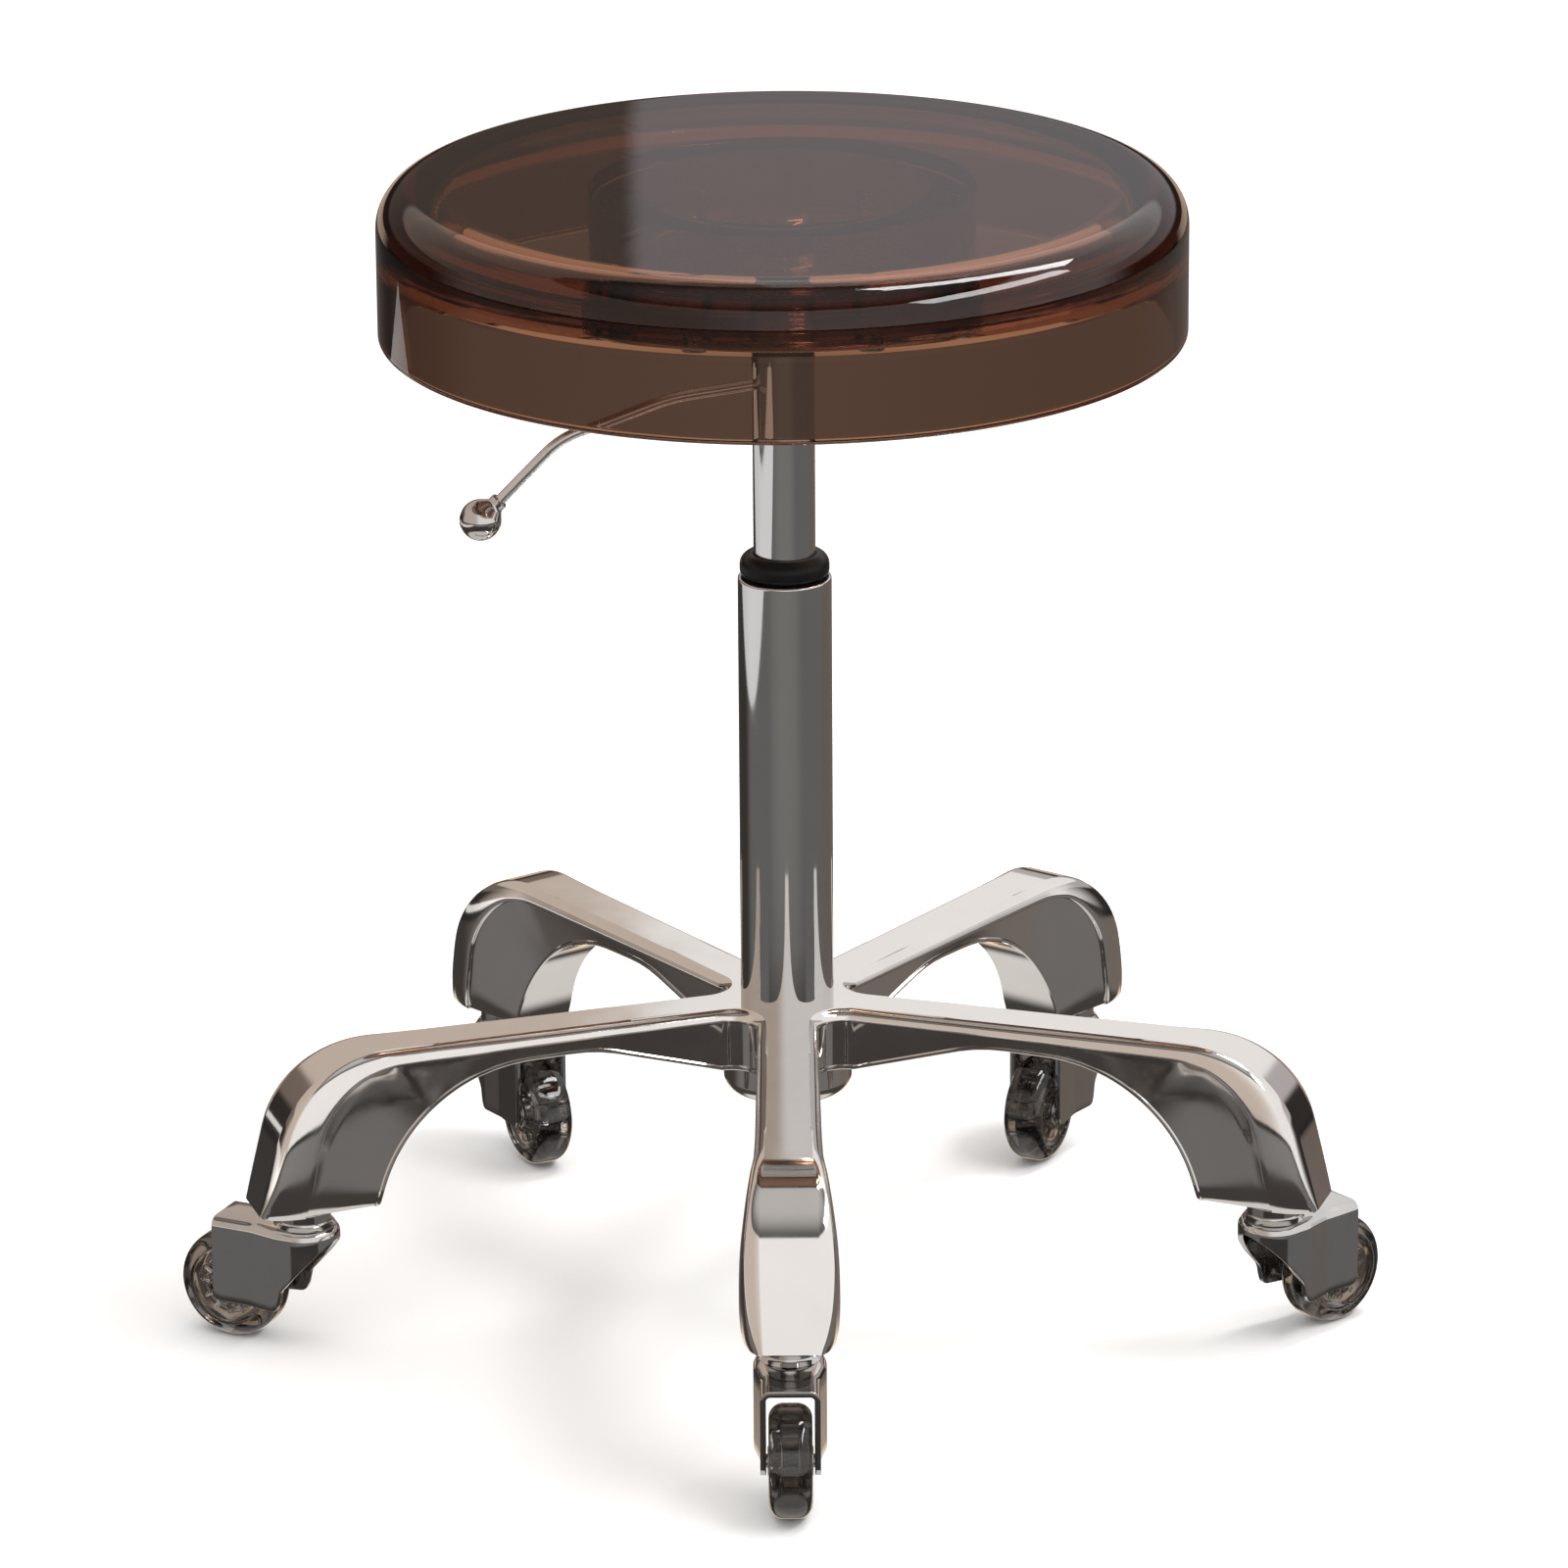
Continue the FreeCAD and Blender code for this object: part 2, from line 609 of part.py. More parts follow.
# Casters, each made about its stem's axis with the wheel trailing along +X
def fork_plan(hood, half_width, nose_x):
    """Outline from above: a round hood about the stem that narrows to the plates beside the wheel."""
    taper_end = FORK_HOOD_REACH + FORK_HOOD_TAPER
    half = [
        (-hood, hood, hood),
        (FORK_HOOD_REACH, hood, FORK_HOOD_TAPER),
        (taper_end, half_width, FORK_HOOD_TAPER),
        (nose_x, half_width, FORK_CORNER),
    ]
    return half + [(x, -y, rounding) for x, y, rounding in reversed(half)]


def fork_side(rear_shift, nose_x, skirt_z):
    """Outline from the side below the crown, with the hood's slanting rear edge."""
    rear_x = rear_shift + TRAIL - WHEEL_DIAMETER / 2 - FORK_REAR_GAP - FORK_REAR_WALL
    return [
        (rear_shift - FORK_HOOD, crown_bottom_z, 0),
        (rear_x, crown_bottom_z - FORK_REAR_DROP, FORK_CORNER),
        (rear_x, skirt_z, FORK_CORNER),
        (nose_x, skirt_z, FORK_CORNER),
        (nose_x, crown_bottom_z, 0),
    ]


def make_fork():
    half_gap = WHEEL_WIDTH / 2 + FORK_GAP
    half_width = half_gap + FORK_PLATE
    wheel_z = WHEEL_DIAMETER / 2
    nose_x = TRAIL + FORK_NOSE
    skirt_z = wheel_z - FORK_SKIRT
    plan = fork_plan(FORK_HOOD, half_width, nose_x)
    crown = level_slab(plan, crown_bottom_z, crown_top_z)
    top_edges = [e for e in crown.Edges if e.BoundBox.ZMin > crown_top_z - 1e-6]
    crown = crown.makeFillet(FORK_CROWN_ROUND, top_edges)
    hood = level_slab(plan, skirt_z, crown_bottom_z)
    hood = hood.common(upright_slab(fork_side(0.0, nose_x, skirt_z), FORK_HOOD))

    open_x = nose_x + FORK_CORNER
    open_z = skirt_z - FORK_CORNER
    inside = level_slab(fork_plan(FORK_HOOD - FORK_PLATE, half_gap, open_x), open_z, crown_bottom_z)
    inside = inside.common(upright_slab(fork_side(FORK_REAR_WALL, open_x, open_z), FORK_HOOD))

    neck = cylinder(STEM_DIAMETER / 2 + FORK_NECK_WALL, crown_top_z, neck_top_z)
    stem_fit = STEM_DIAMETER / 2 + RUNNING_CLEARANCE
    fork = joined([crown, hood.cut(inside), neck])
    fork = fork.cut(cylinder(stem_fit, crown_bottom_z, neck_top_z))
    return fork.cut(cross_cylinder(AXLE_DIAMETER / 2, half_width, TRAIL, wheel_z))


def spun(corners):
    """Solid of revolution about the axle from corners (radius, place along the axle, rounding)."""
    solid = Part.Face(rounded_path(corners, level)).revolve(vec(0, 0, 0), vec(0, 1, 0), 360)
    solid.translate(vec(TRAIL, 0, WHEEL_DIAMETER / 2))
    return solid


def make_tyre():
    outer = WHEEL_DIAMETER / 2
    inner = outer - TYRE_THICKNESS
    half = WHEEL_WIDTH / 2
    return spun([
        (inner, -half, 0),
        (outer, -half, TYRE_ROUND),
        (outer, half, TYRE_ROUND),
        (inner, half, 0),
    ])


def make_core():
    outer = WHEEL_DIAMETER / 2 - TYRE_THICKNESS
    rim = outer - CORE_RIM
    half = WHEEL_WIDTH / 2 - CORE_SETBACK
    half_web = CORE_WEB / 2
    seat = BEARING_OUTER / 2
    boss = seat + BEARING_SEAT_WALL
    axle_gap = AXLE_DIAMETER / 2 + PASSING_CLEARANCE
    shoulder = WHEEL_WIDTH / 2 + BEARING_STANDOUT - BEARING_WIDTH
    half_boss = WHEEL_WIDTH / 2
    core = spun([
        (axle_gap, -shoulder, 0),
        (seat, -shoulder, 0),
        (seat, -half_boss, 0),
        (boss, -half_boss, 0),
        (boss, -half_web, 0),
        (rim, -half_web, 0),
        (rim, -half, 0),
        (outer, -half, 0),
        (outer, half, 0),
        (rim, half, 0),
        (rim, half_web, 0),
        (boss, half_web, 0),
        (boss, half_boss, 0),
        (seat, half_boss, 0),
        (seat, shoulder, 0),
        (axle_gap, shoulder, 0),
    ])
    for a, b in ring_of(SPOKE_COUNT, (boss + rim) / 2):
        core = core.cut(cross_cylinder(SPOKE_HOLE / 2, WHEEL_WIDTH, TRAIL + a, WHEEL_DIAMETER / 2 + b))
    return core


def make_bearings():
    outer_end = WHEEL_WIDTH / 2 + BEARING_STANDOUT
    inner_end = outer_end - BEARING_WIDTH
    bore = AXLE_DIAMETER / 2 + RUNNING_CLEARANCE
    pair = []
    for side in (-1, 1):
        pair.append(spun([
            (bore, side * inner_end, 0),
            (BEARING_OUTER / 2, side * inner_end, 0),
            (BEARING_OUTER / 2, side * outer_end, 0),
            (bore, side * outer_end, 0),
        ]))
    return pair


def make_axle():
    half_length = WHEEL_WIDTH / 2 + FORK_GAP + FORK_PLATE - AXLE_SETBACK
    return cross_cylinder(AXLE_DIAMETER / 2, half_length, TRAIL, WHEEL_DIAMETER / 2)


def make_casters():
    bearings = make_bearings()
    pieces = {
        "fork": [make_fork()],
        "axle": [make_axle()],
        "core": [make_core()],
        "tyre": [make_tyre()],
        "bearings": bearings,
    }
    stems = ring_of(ARM_COUNT, stem_circle, FIRST_ARM_AZIMUTH)
    for number, (stem, azimuth) in enumerate(zip(stems, TRAIL_AZIMUTHS), start=1):
        for name, solids in pieces.items():
            placed = []
            for solid in solids:
                copy = rotated(solid, azimuth)
                copy.translate(vec(stem[0], stem[1], 0))
                placed.append(copy)
            save("caster_%d_%s" % (number, name), *placed)


make_seat()
make_post()
make_gas_cylinder()
make_lever()
make_spindle()
make_column()
make_base()
make_casters()
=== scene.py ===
"""A rolling stool: clear tinted seat, lift column, polished star base and five casters.

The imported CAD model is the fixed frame, and each class makes the meshes and finishes of one
sub-assembly on it. Sizes are millimetres and angles degrees; meshes are written in metres.
"""

import json
import logging
import math
from dataclasses import dataclass
from enum import Enum
from typing import ClassVar

import bmesh
import bpy
from mathutils import Matrix, Vector


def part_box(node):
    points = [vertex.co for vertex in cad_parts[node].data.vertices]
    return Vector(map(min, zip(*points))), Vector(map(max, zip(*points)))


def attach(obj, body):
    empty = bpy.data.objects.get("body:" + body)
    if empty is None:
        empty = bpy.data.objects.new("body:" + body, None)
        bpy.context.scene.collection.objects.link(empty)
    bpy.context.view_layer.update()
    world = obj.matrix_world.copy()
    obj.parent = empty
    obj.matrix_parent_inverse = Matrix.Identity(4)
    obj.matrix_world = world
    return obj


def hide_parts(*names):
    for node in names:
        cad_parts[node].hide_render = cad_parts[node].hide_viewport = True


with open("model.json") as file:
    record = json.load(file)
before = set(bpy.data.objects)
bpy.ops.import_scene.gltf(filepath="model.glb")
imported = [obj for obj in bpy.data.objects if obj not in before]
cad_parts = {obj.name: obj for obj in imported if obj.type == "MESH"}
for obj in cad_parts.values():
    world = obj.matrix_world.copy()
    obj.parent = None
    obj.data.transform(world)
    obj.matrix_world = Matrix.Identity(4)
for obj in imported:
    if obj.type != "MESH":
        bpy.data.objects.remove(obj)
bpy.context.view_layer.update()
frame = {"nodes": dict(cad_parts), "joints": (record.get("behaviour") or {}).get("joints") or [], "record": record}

LOG = logging.getLogger("rolling_stool")
MM = 0.001
PHOTO_SIDE = 1600   # pixels of the square photograph
WELD_DISTANCE = 1e-3   # vertices nearer than this are one
SHARP_ANGLE = 40.0     # edges that turn by more degrees than this stay sharp
MIX_SHARE, MIX_FIRST, MIX_SECOND, MIX_RESULT = 0, 6, 7, 2   # a colour mix's sockets, by number

Corner = tuple[float, float, float]   # across, up, rounding
Keys = tuple[tuple[float, float], ...]   # place, value


class Slot(Enum):
    """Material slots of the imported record."""

    TINTED_PLASTIC = "tinted_plastic"
    CHROME = "chrome"
    POLISHED_ALUMINIUM = "polished_aluminium"
    BLACK_RUBBER = "black_rubber"
    GUIDE_PLASTIC = "guide_plastic"
    STEEL = "steel"
    SMOKY_TYRE = "smoky_tyre"
    SMOKY_CORE = "smoky_core"


def linear(code: str) -> tuple[float, float, float, float]:
    """Turns an sRGB hex code into a linear colour.

    Args:
        code: colour as #RRGGBB.

    Returns:
        Linear red, green, blue and an alpha of 1.
    """
    channels = [int(code[i:i + 2], 16) / 255 for i in (1, 3, 5)]
    red, green, blue = (c / 12.92 if c <= 0.04045 else ((c + 0.055) / 1.055) ** 2.4 for c in channels)
    return red, green, blue, 1.0


def add_node(
    tree: bpy.types.NodeTree,
    kind: str,
    settings: dict | None = None,
    values: dict | None = None,
    links: dict | None = None,
) -> bpy.types.Node:
    """Adds a node with its settings and links.

    Args:
        tree: node tree that takes the node.
        kind: Blender's name of the node type.
        settings: properties of the node.
        values: input values, by socket name or number.
        links: output sockets that feed its inputs, by socket name or number.

    Returns:
        The new node.
    """
    node = tree.nodes.new(kind)
    for name, value in (settings or {}).items():
        setattr(node, name, value)
    for name, value in (values or {}).items():
        node.inputs[name].default_value = value
    for name, output in (links or {}).items():
        tree.links.new(output, node.inputs[name])
    return node


def per_metre(size_mm: float) -> float:
    """Texture scale whose features are about this many millimetres across."""
    return 1.0 / (size_mm * MM)


def noise(
    tree: bpy.types.NodeTree,
    vector: bpy.types.NodeSocket,
    scale: float,
    detail: float = 2.0,
    roughness: float = 0.5,
) -> bpy.types.NodeSocket:
    """Adds a noise texture.

    Args:
        tree: node tree that takes the node.
        vector: coordinates of the texture.
        scale: features to a unit of them.
        detail: octaves of the noise.
        roughness: how much the finer octaves add.

    Returns:
        The noise, from 0 to 1.
    """
    values = {"Scale": scale, "Detail": detail, "Roughness": roughness}
    return add_node(tree, "ShaderNodeTexNoise", values=values, links={"Vector": vector}).outputs["Fac"]


def map_range(
    tree: bpy.types.NodeTree,
    value: bpy.types.NodeSocket,
    source: tuple[float, float],
    target: tuple[float, float] = (0.0, 1.0),
    interpolation: str = "LINEAR",
) -> bpy.types.NodeSocket:
    """Adds a node that carries a value from one span to another.

    Args:
        tree: node tree that takes the node.
        value: value to carry over.
        source: span that it comes from.
        target: span that it goes to.
        interpolation: Blender's name of the way between the ends.

    Returns:
        The value in the target span.
    """
    return add_node(
        tree, "ShaderNodeMapRange", settings={"interpolation_type": interpolation},
        values={"From Min": source[0], "From Max": source[1], "To Min": target[0], "To Max": target[1]},
        links={"Value": value},
    ).outputs["Result"]


def mix_colours(
    tree: bpy.types.NodeTree,
    share: bpy.types.NodeSocket,
    first: str | bpy.types.NodeSocket,
    second: str | bpy.types.NodeSocket,
) -> bpy.types.NodeSocket:
    """Adds a node that mixes two colours.

    Args:
        tree: node tree that takes the node.
        share: how much of the second colour to take.
        first: colour code, or a socket that gives the colour.
        second: the other colour, in the same way.

    Returns:
        The mixed colour.
    """
    values = {}
    links = {MIX_SHARE: share}
    for socket, colour in ((MIX_FIRST, first), (MIX_SECOND, second)):
        if isinstance(colour, str):
            values[socket] = linear(colour)
        else:
            links[socket] = colour
    mix = add_node(tree, "ShaderNodeMix", settings={"data_type": "RGBA"}, values=values, links=links)
    return mix.outputs[MIX_RESULT]


@dataclass(frozen=True)
class Finish:
    """A material: its name, the record's slot that it finishes, and the patches that vary its gloss."""

    name: str
    slot: Slot
    roughness: tuple[float, float]
    patch_mm: float

    PATCH_SPAN: ClassVar[tuple[float, float]] = (0.3, 0.7)   # of the patches' noise, from gloss to haze

    def material(self) -> bpy.types.Material:
        """Gives the Blender material, painted the first time it is asked for."""
        found = bpy.data.materials.get(self.name)
        if found:
            return found
        material = bpy.data.materials.new(self.name)
        material.use_nodes = True
        material.node_tree.nodes.clear()
        self.paint(material.node_tree)
        return material

    def paint(self, tree: bpy.types.NodeTree) -> None:
        """Adds the material's nodes to its empty tree."""
        raise NotImplementedError

    def coat(
        self,
        tree: bpy.types.NodeTree,
        patches: bpy.types.NodeSocket,
        tones: tuple[str, str],
        relief: bpy.types.NodeSocket,
        depth_mm: float,
        values: dict,
    ) -> bpy.types.NodeSocket:
        """Adds the shader, with a fine relief and patches of colour and gloss.

        Args:
            tree: the material's tree.
            patches: noise that goes from the first tone and gloss to the second.
            tones: the two colours.
            relief: heights of the relief.
            depth_mm: depth of the relief.
            values: the shader's other inputs.

        Returns:
            The shader.
        """
        normal = add_node(
            tree, "ShaderNodeBump",
            values={"Strength": 1.0, "Distance": depth_mm * MM}, links={"Height": relief},
        ).outputs["Normal"]
        links = {
            "Base Color": mix_colours(tree, patches, *tones),
            "Roughness": map_range(tree, patches, self.PATCH_SPAN, self.roughness),
            "Normal": normal,
        }
        return add_node(tree, "ShaderNodeBsdfPrincipled", values=values, links=links).outputs["BSDF"]


@dataclass(frozen=True)
class Metal(Finish):
    """Metal: plated, buffed or turned.

    A hazy patchwork varies its colour and gloss, and fine tool lines run along or round the piece.
    The lines are drawn about ten times coarser than real ones, or they would not show.
    """

    bright: str
    dull: str
    line_mm: tuple[float, float, float]
    line_depth_mm: float

    def paint(self, tree: bpy.types.NodeTree) -> None:
        """Adds the material's nodes to its empty tree."""
        place = add_node(tree, "ShaderNodeTexCoord").outputs["Object"]
        patches = noise(tree, place, per_metre(self.patch_mm), detail=4.0, roughness=0.6)
        stretched = add_node(
            tree, "ShaderNodeMapping",
            values={"Scale": [per_metre(size) for size in self.line_mm]}, links={"Vector": place},
        ).outputs["Vector"]
        lines = noise(tree, stretched, scale=1.0)
        tones = (self.dull, self.bright)
        shader = self.coat(tree, patches, tones, lines, self.line_depth_mm, {"Metallic": 1.0})
        add_node(tree, "ShaderNodeOutputMaterial", links={"Surface": shader})


@dataclass(frozen=True)
class ClearPlastic(Finish):
    """Clear plastic, moulded and coloured in the mass: darker where the eye looks through more of it.

    Slow ripples from the mould bend its reflections, and handling leaves faint hazy patches.
    """

    tint: str
    deep_tint: str
    mass_colour: str
    density: float   # per metre
    ior: float
    ripple_mm: float
    ripple_depth_mm: float

    PATCH_SPAN: ClassVar[tuple[float, float]] = (0.35, 0.75)

    def paint(self, tree: bpy.types.NodeTree) -> None:
        """Adds the material's nodes to its empty tree."""
        place = add_node(tree, "ShaderNodeTexCoord").outputs["Object"]
        patches = noise(tree, place, per_metre(self.patch_mm), detail=5.0)
        ripples = noise(tree, place, per_metre(self.ripple_mm), detail=1.0)
        tones = (self.tint, self.deep_tint)
        values = {"Transmission Weight": 1.0, "IOR": self.ior}
        surface = self.coat(tree, patches, tones, ripples, self.ripple_depth_mm, values)
        mass = add_node(
            tree, "ShaderNodeVolumeAbsorption",
            values={"Color": linear(self.mass_colour), "Density": self.density},
        ).outputs["Volume"]
        add_node(tree, "ShaderNodeOutputMaterial", links={"Surface": surface, "Volume": mass})


@dataclass(frozen=True)
class MattePolymer(Finish):
    """Rubber or filled plastic from a mould: soft sheen, a fine grain and paler dusty patches."""

    colour: str
    dusty: str
    grain_mm: float
    grain_depth_mm: float
    specular: float = 0.2    # dull: less than half of what a clean polymer gives back

    def paint(self, tree: bpy.types.NodeTree) -> None:
        """Adds the material's nodes to its empty tree."""
        place = add_node(tree, "ShaderNodeTexCoord").outputs["Object"]
        patches = noise(tree, place, per_metre(self.patch_mm), detail=6.0)
        grain = noise(tree, place, per_metre(self.grain_mm), detail=3.0)
        tones = (self.colour, self.dusty)
        values = {"Specular IOR Level": self.specular}
        shader = self.coat(tree, patches, tones, grain, self.grain_depth_mm, values)
        add_node(tree, "ShaderNodeOutputMaterial", links={"Surface": shader})


# Acrylic, injection moulded and flame polished: brown glass to the eye, near black where it is deep.
TINTED_ACRYLIC = ClearPlastic(
    "tinted acrylic", Slot.TINTED_PLASTIC, tint="#E4DCD5", deep_tint="#DED5CD", mass_colour="#CFA27A",
    density=225.0, ior=1.49, roughness=(0.0, 0.03), patch_mm=90.0, ripple_mm=70.0, ripple_depth_mm=0.05,
)
# The same acrylic with little dye: a pale brown ring whose edges catch the light.
PALE_ACRYLIC = ClearPlastic(
    "pale acrylic", Slot.TINTED_PLASTIC, tint="#EDE7E2", deep_tint="#E6DFD8", mass_colour="#D6C3B0",
    density=60.0, ior=1.49, roughness=(0.0, 0.03), patch_mm=40.0, ripple_mm=30.0, ripple_depth_mm=0.02,
)
# Chrome over nickel on drawn steel tube: a cool mirror with faint lengthwise drawing lines.
CHROME_TUBE = Metal(
    "chrome plated tube", Slot.CHROME, bright="#D6D5D4", dull="#CAC8C6", roughness=(0.03, 0.07),
    patch_mm=40.0, line_mm=(1.5, 1.5, 120.0), line_depth_mm=0.002,
)
# Chrome on pressed or cast pieces: the same mirror, without a direction.
CHROME_PRESSING = Metal(
    "chrome plated pressing", Slot.CHROME, bright="#D6D5D4", dull="#C8C6C4", roughness=(0.04, 0.1),
    patch_mm=14.0, line_mm=(6.0, 6.0, 6.0), line_depth_mm=0.006,
)
# Chrome over blasted steel: pale and soft, with no sharp reflections.
CHROME_SATIN = Metal(
    "satin chrome", Slot.CHROME, bright="#E6E5E4", dull="#DAD8D6", roughness=(0.24, 0.34),
    patch_mm=9.0, line_mm=(3.0, 3.0, 3.0), line_depth_mm=0.004,
)
# Die-cast aluminium, buffed by hand: a warm white mirror, softly waved where the wheel dwelt.
BUFFED_ALUMINIUM = Metal(
    "buffed aluminium", Slot.POLISHED_ALUMINIUM, bright="#EFECE9", dull="#E4E0DC", roughness=(0.05, 0.11),
    patch_mm=30.0, line_mm=(24.0, 24.0, 24.0), line_depth_mm=0.02,
)
# Turned and zinc-plated steel: greyer, with rings from the lathe.
TURNED_STEEL = Metal(
    "turned steel", Slot.STEEL, bright="#C3C3C4", dull="#A5A5A7", roughness=(0.2, 0.34),
    patch_mm=6.0, line_mm=(40.0, 40.0, 0.6), line_depth_mm=0.004,
)
# Nitrile rubber: black with a low sheen.
NITRILE_RUBBER = MattePolymer(
    "nitrile rubber", Slot.BLACK_RUBBER, colour="#0B0B0B", dusty="#161515", roughness=(0.25, 0.42),
    patch_mm=9.0, grain_mm=0.5, grain_depth_mm=0.012,
)
# Glass-filled nylon: dark and dry.
FILLED_NYLON = MattePolymer(
    "filled nylon", Slot.GUIDE_PLASTIC, colour="#1C1C1D", dusty="#2A2A2B", roughness=(0.45, 0.6),
    patch_mm=7.0, grain_mm=0.4, grain_depth_mm=0.01,
)
# Cast urethane: smoky and clear, softer to the eye than the core inside it.
SMOKY_URETHANE = ClearPlastic(
    "smoky urethane", Slot.SMOKY_TYRE, tint="#EEECEA", deep_tint="#E4E1DE", mass_colour="#A2A1A2",
    density=100.0, ior=1.5, roughness=(0.02, 0.08), patch_mm=8.0, ripple_mm=9.0, ripple_depth_mm=0.04,
)
# Polycarbonate: clear grey, hard and bright.
SMOKY_POLYCARBONATE = ClearPlastic(
    "smoky polycarbonate", Slot.SMOKY_CORE, tint="#F2F0EE", deep_tint="#E8E5E2", mass_colour="#9D9D9F",
    density=75.0, ior=1.58, roughness=(0.01, 0.05), patch_mm=6.0, ripple_mm=8.0, ripple_depth_mm=0.02,
)

CAD_FINISHES = {
    finish.slot: finish
    for finish in (
        TINTED_ACRYLIC, CHROME_PRESSING, BUFFED_ALUMINIUM, NITRILE_RUBBER,
        FILLED_NYLON, TURNED_STEEL, SMOKY_URETHANE, SMOKY_POLYCARBONATE,
    )
}


def rounded(corners: list[Corner], steps: int = 10, closed: bool = False) -> list[Vector]:
    """Runs a line through corners and rounds each to its radius.

    Args:
        corners: points of the line with their roundings.
        steps: chords in a rounding.
        closed: the last corner leads back to the first.

    Returns:
        Points along the line, in two dimensions.
    """
    points = []
    count = len(corners)
    for i, (across, up, radius) in enumerate(corners):
        here = Vector((across, up))
        is_end = not closed and i in (0, count - 1)
        if radius == 0 or is_end:
            points.append(here)
            continue
        before = (Vector(corners[i - 1][:2]) - here).normalized()
        after = (Vector(corners[(i + 1) % count][:2]) - here).normalized()
        half_angle = before.angle(after) / 2
        centre = here + (before + after).normalized() * radius / math.sin(half_angle)
        arm = here + before * radius / math.tan(half_angle) - centre
        side = 1.0 if before.cross(after) < 0 else -1.0
        turn = side * (math.pi - 2 * half_angle)
        points += [centre + Matrix.Rotation(turn * k / steps, 2) @ arm for k in range(steps + 1)]
    return points


def along(path: list[Vector], count: int) -> list[Vector]:
    """Spaces points evenly along a line.

    Args:
        path: the line's points.
        count: steps to divide it into.

    Returns:
        The line's two ends and the points between them.
    """
    reach = [0.0]
    for start, end in zip(path, path[1:]):
        reach.append(reach[-1] + (end - start).length)
    spaced = []
    run = 0
    for i in range(count + 1):
        wanted = reach[-1] * i / count
        while run < len(path) - 2 and reach[run + 1] < wanted:
            run += 1
        share = (wanted - reach[run]) / max(reach[run + 1] - reach[run], 1e-9)
        spaced.append(path[run].lerp(path[run + 1], share))
    return spaced


def height_at(path: list[Vector], across: float) -> float:
    """Finds the height of a line that runs outwards.

    Args:
        path: the line's points, each further out than the last.
        across: the place to look at.

    Returns:
        The height there, or the end's beyond the line's ends.
    """
    if across <= path[0].x:
        return path[0].y
    for start, end in zip(path, path[1:]):
        if across <= end.x and end.x > start.x:
            return start.y + (end.y - start.y) * (across - start.x) / (end.x - start.x)
    return path[-1].y


def between_keys(keys: Keys, place: float) -> float:
    """Draws a smooth curve through keys.

    Args:
        keys: places, rising, with their values.
        place: where to read the curve.

    Returns:
        The curve's value, level beyond the first and last key.
    """
    if place <= keys[0][0]:
        return keys[0][1]
    if place >= keys[-1][0]:
        return keys[-1][1]
    i = next(k for k in range(len(keys) - 1) if place <= keys[k + 1][0])
    (start, low), (end, high) = keys[i], keys[i + 1]
    before = keys[max(i - 1, 0)]
    after = keys[min(i + 2, len(keys) - 1)]
    span = end - start
    leave = (high - before[1]) / (end - before[0]) * span
    arrive = (after[1] - low) / (after[0] - start) * span
    t = (place - start) / span
    rise = t * t * (3 - 2 * t)
    return low + (high - low) * rise + leave * t * (1 - t) ** 2 - arrive * t * t * (1 - t)


def held(outline: list[Vector], hold: float = 0.4) -> list[Vector]:
    """Adds points near the ends of an outline's long runs, so that they shade flat beside a rounding.

    Args:
        outline: closed outline.
        hold: distance of the added points from the ends.

    Returns:
        The outline with the added points.
    """
    points = []
    for start, end in zip(outline, outline[1:] + outline[:1]):
        points.append(start)
        length = (end - start).length
        if length > 5 * hold:
            points.append(start.lerp(end, hold / length))
            points.append(end.lerp(start, hold / length))
    return points


def turn(
    shape: bmesh.types.BMesh,
    profile: list[Vector],
    segments: int,
    place: Matrix = Matrix(),
) -> None:
    """Adds a solid of revolution about Z.

    Args:
        shape: mesh that takes it.
        profile: closed outline of (radius, height) points; points on the axis close the solid there.
        segments: steps round the axis.
        place: where the axis goes.
    """
    rings = []
    for radius, height in held(profile):
        steps = 1 if radius < 1e-6 else segments
        angles = [2 * math.pi * k / steps for k in range(steps)]
        spots = [Vector((radius * math.cos(a), radius * math.sin(a), height)) for a in angles]
        rings.append([shape.verts.new(place @ spot) for spot in spots])
    for low, high in zip(rings, rings[1:] + rings[:1]):
        if len(low) == 1 and len(high) == 1:
            continue
        for k in range(segments):
            n = (k + 1) % segments
            corners = [low[k % len(low)], low[n % len(low)], high[n % len(high)], high[k % len(high)]]
            shape.faces.new(list(dict.fromkeys(corners)))


def turned_piece(
    name: str,
    corners: list[Corner],
    steps: int,
    segments: int,
    closed: bool = False,
    place: Matrix = Matrix(),
) -> bpy.types.Object:
    """Makes a piece that is turned about Z.

    Args:
        name: the object's name.
        corners: (radius, height, rounding) of its outline.
        steps: chords in a rounding.
        segments: steps round the axis.
        closed: the outline's last corner leads back to its first.
        place: where the axis goes.

    Returns:
        The new object.
    """
    shape = bmesh.new()
    turn(shape, rounded(corners, steps, closed), segments, place)
    return new_piece(name, shape)


def skin(
    shape: bmesh.types.BMesh, rows: list[list[Vector]], closed: bool = False,
) -> list[list[bmesh.types.BMVert]]:
    """Adds a surface through rows of points.

    Args:
        shape: mesh that takes it.
        rows: points of each row, as many in one as in the next.
        closed: each row's last point leads back to its first.

    Returns:
        The vertices of each row.
    """
    grid = [[shape.verts.new(spot) for spot in row] for row in rows]
    wrap = 1 if closed else 0
    for near, far in zip(grid, grid[1:]):
        near_run = near + near[:wrap]
        far_run = far + far[:wrap]
        for corners in zip(near_run, near_run[1:], far_run[1:], far_run):
            shape.faces.new(corners)
    return grid


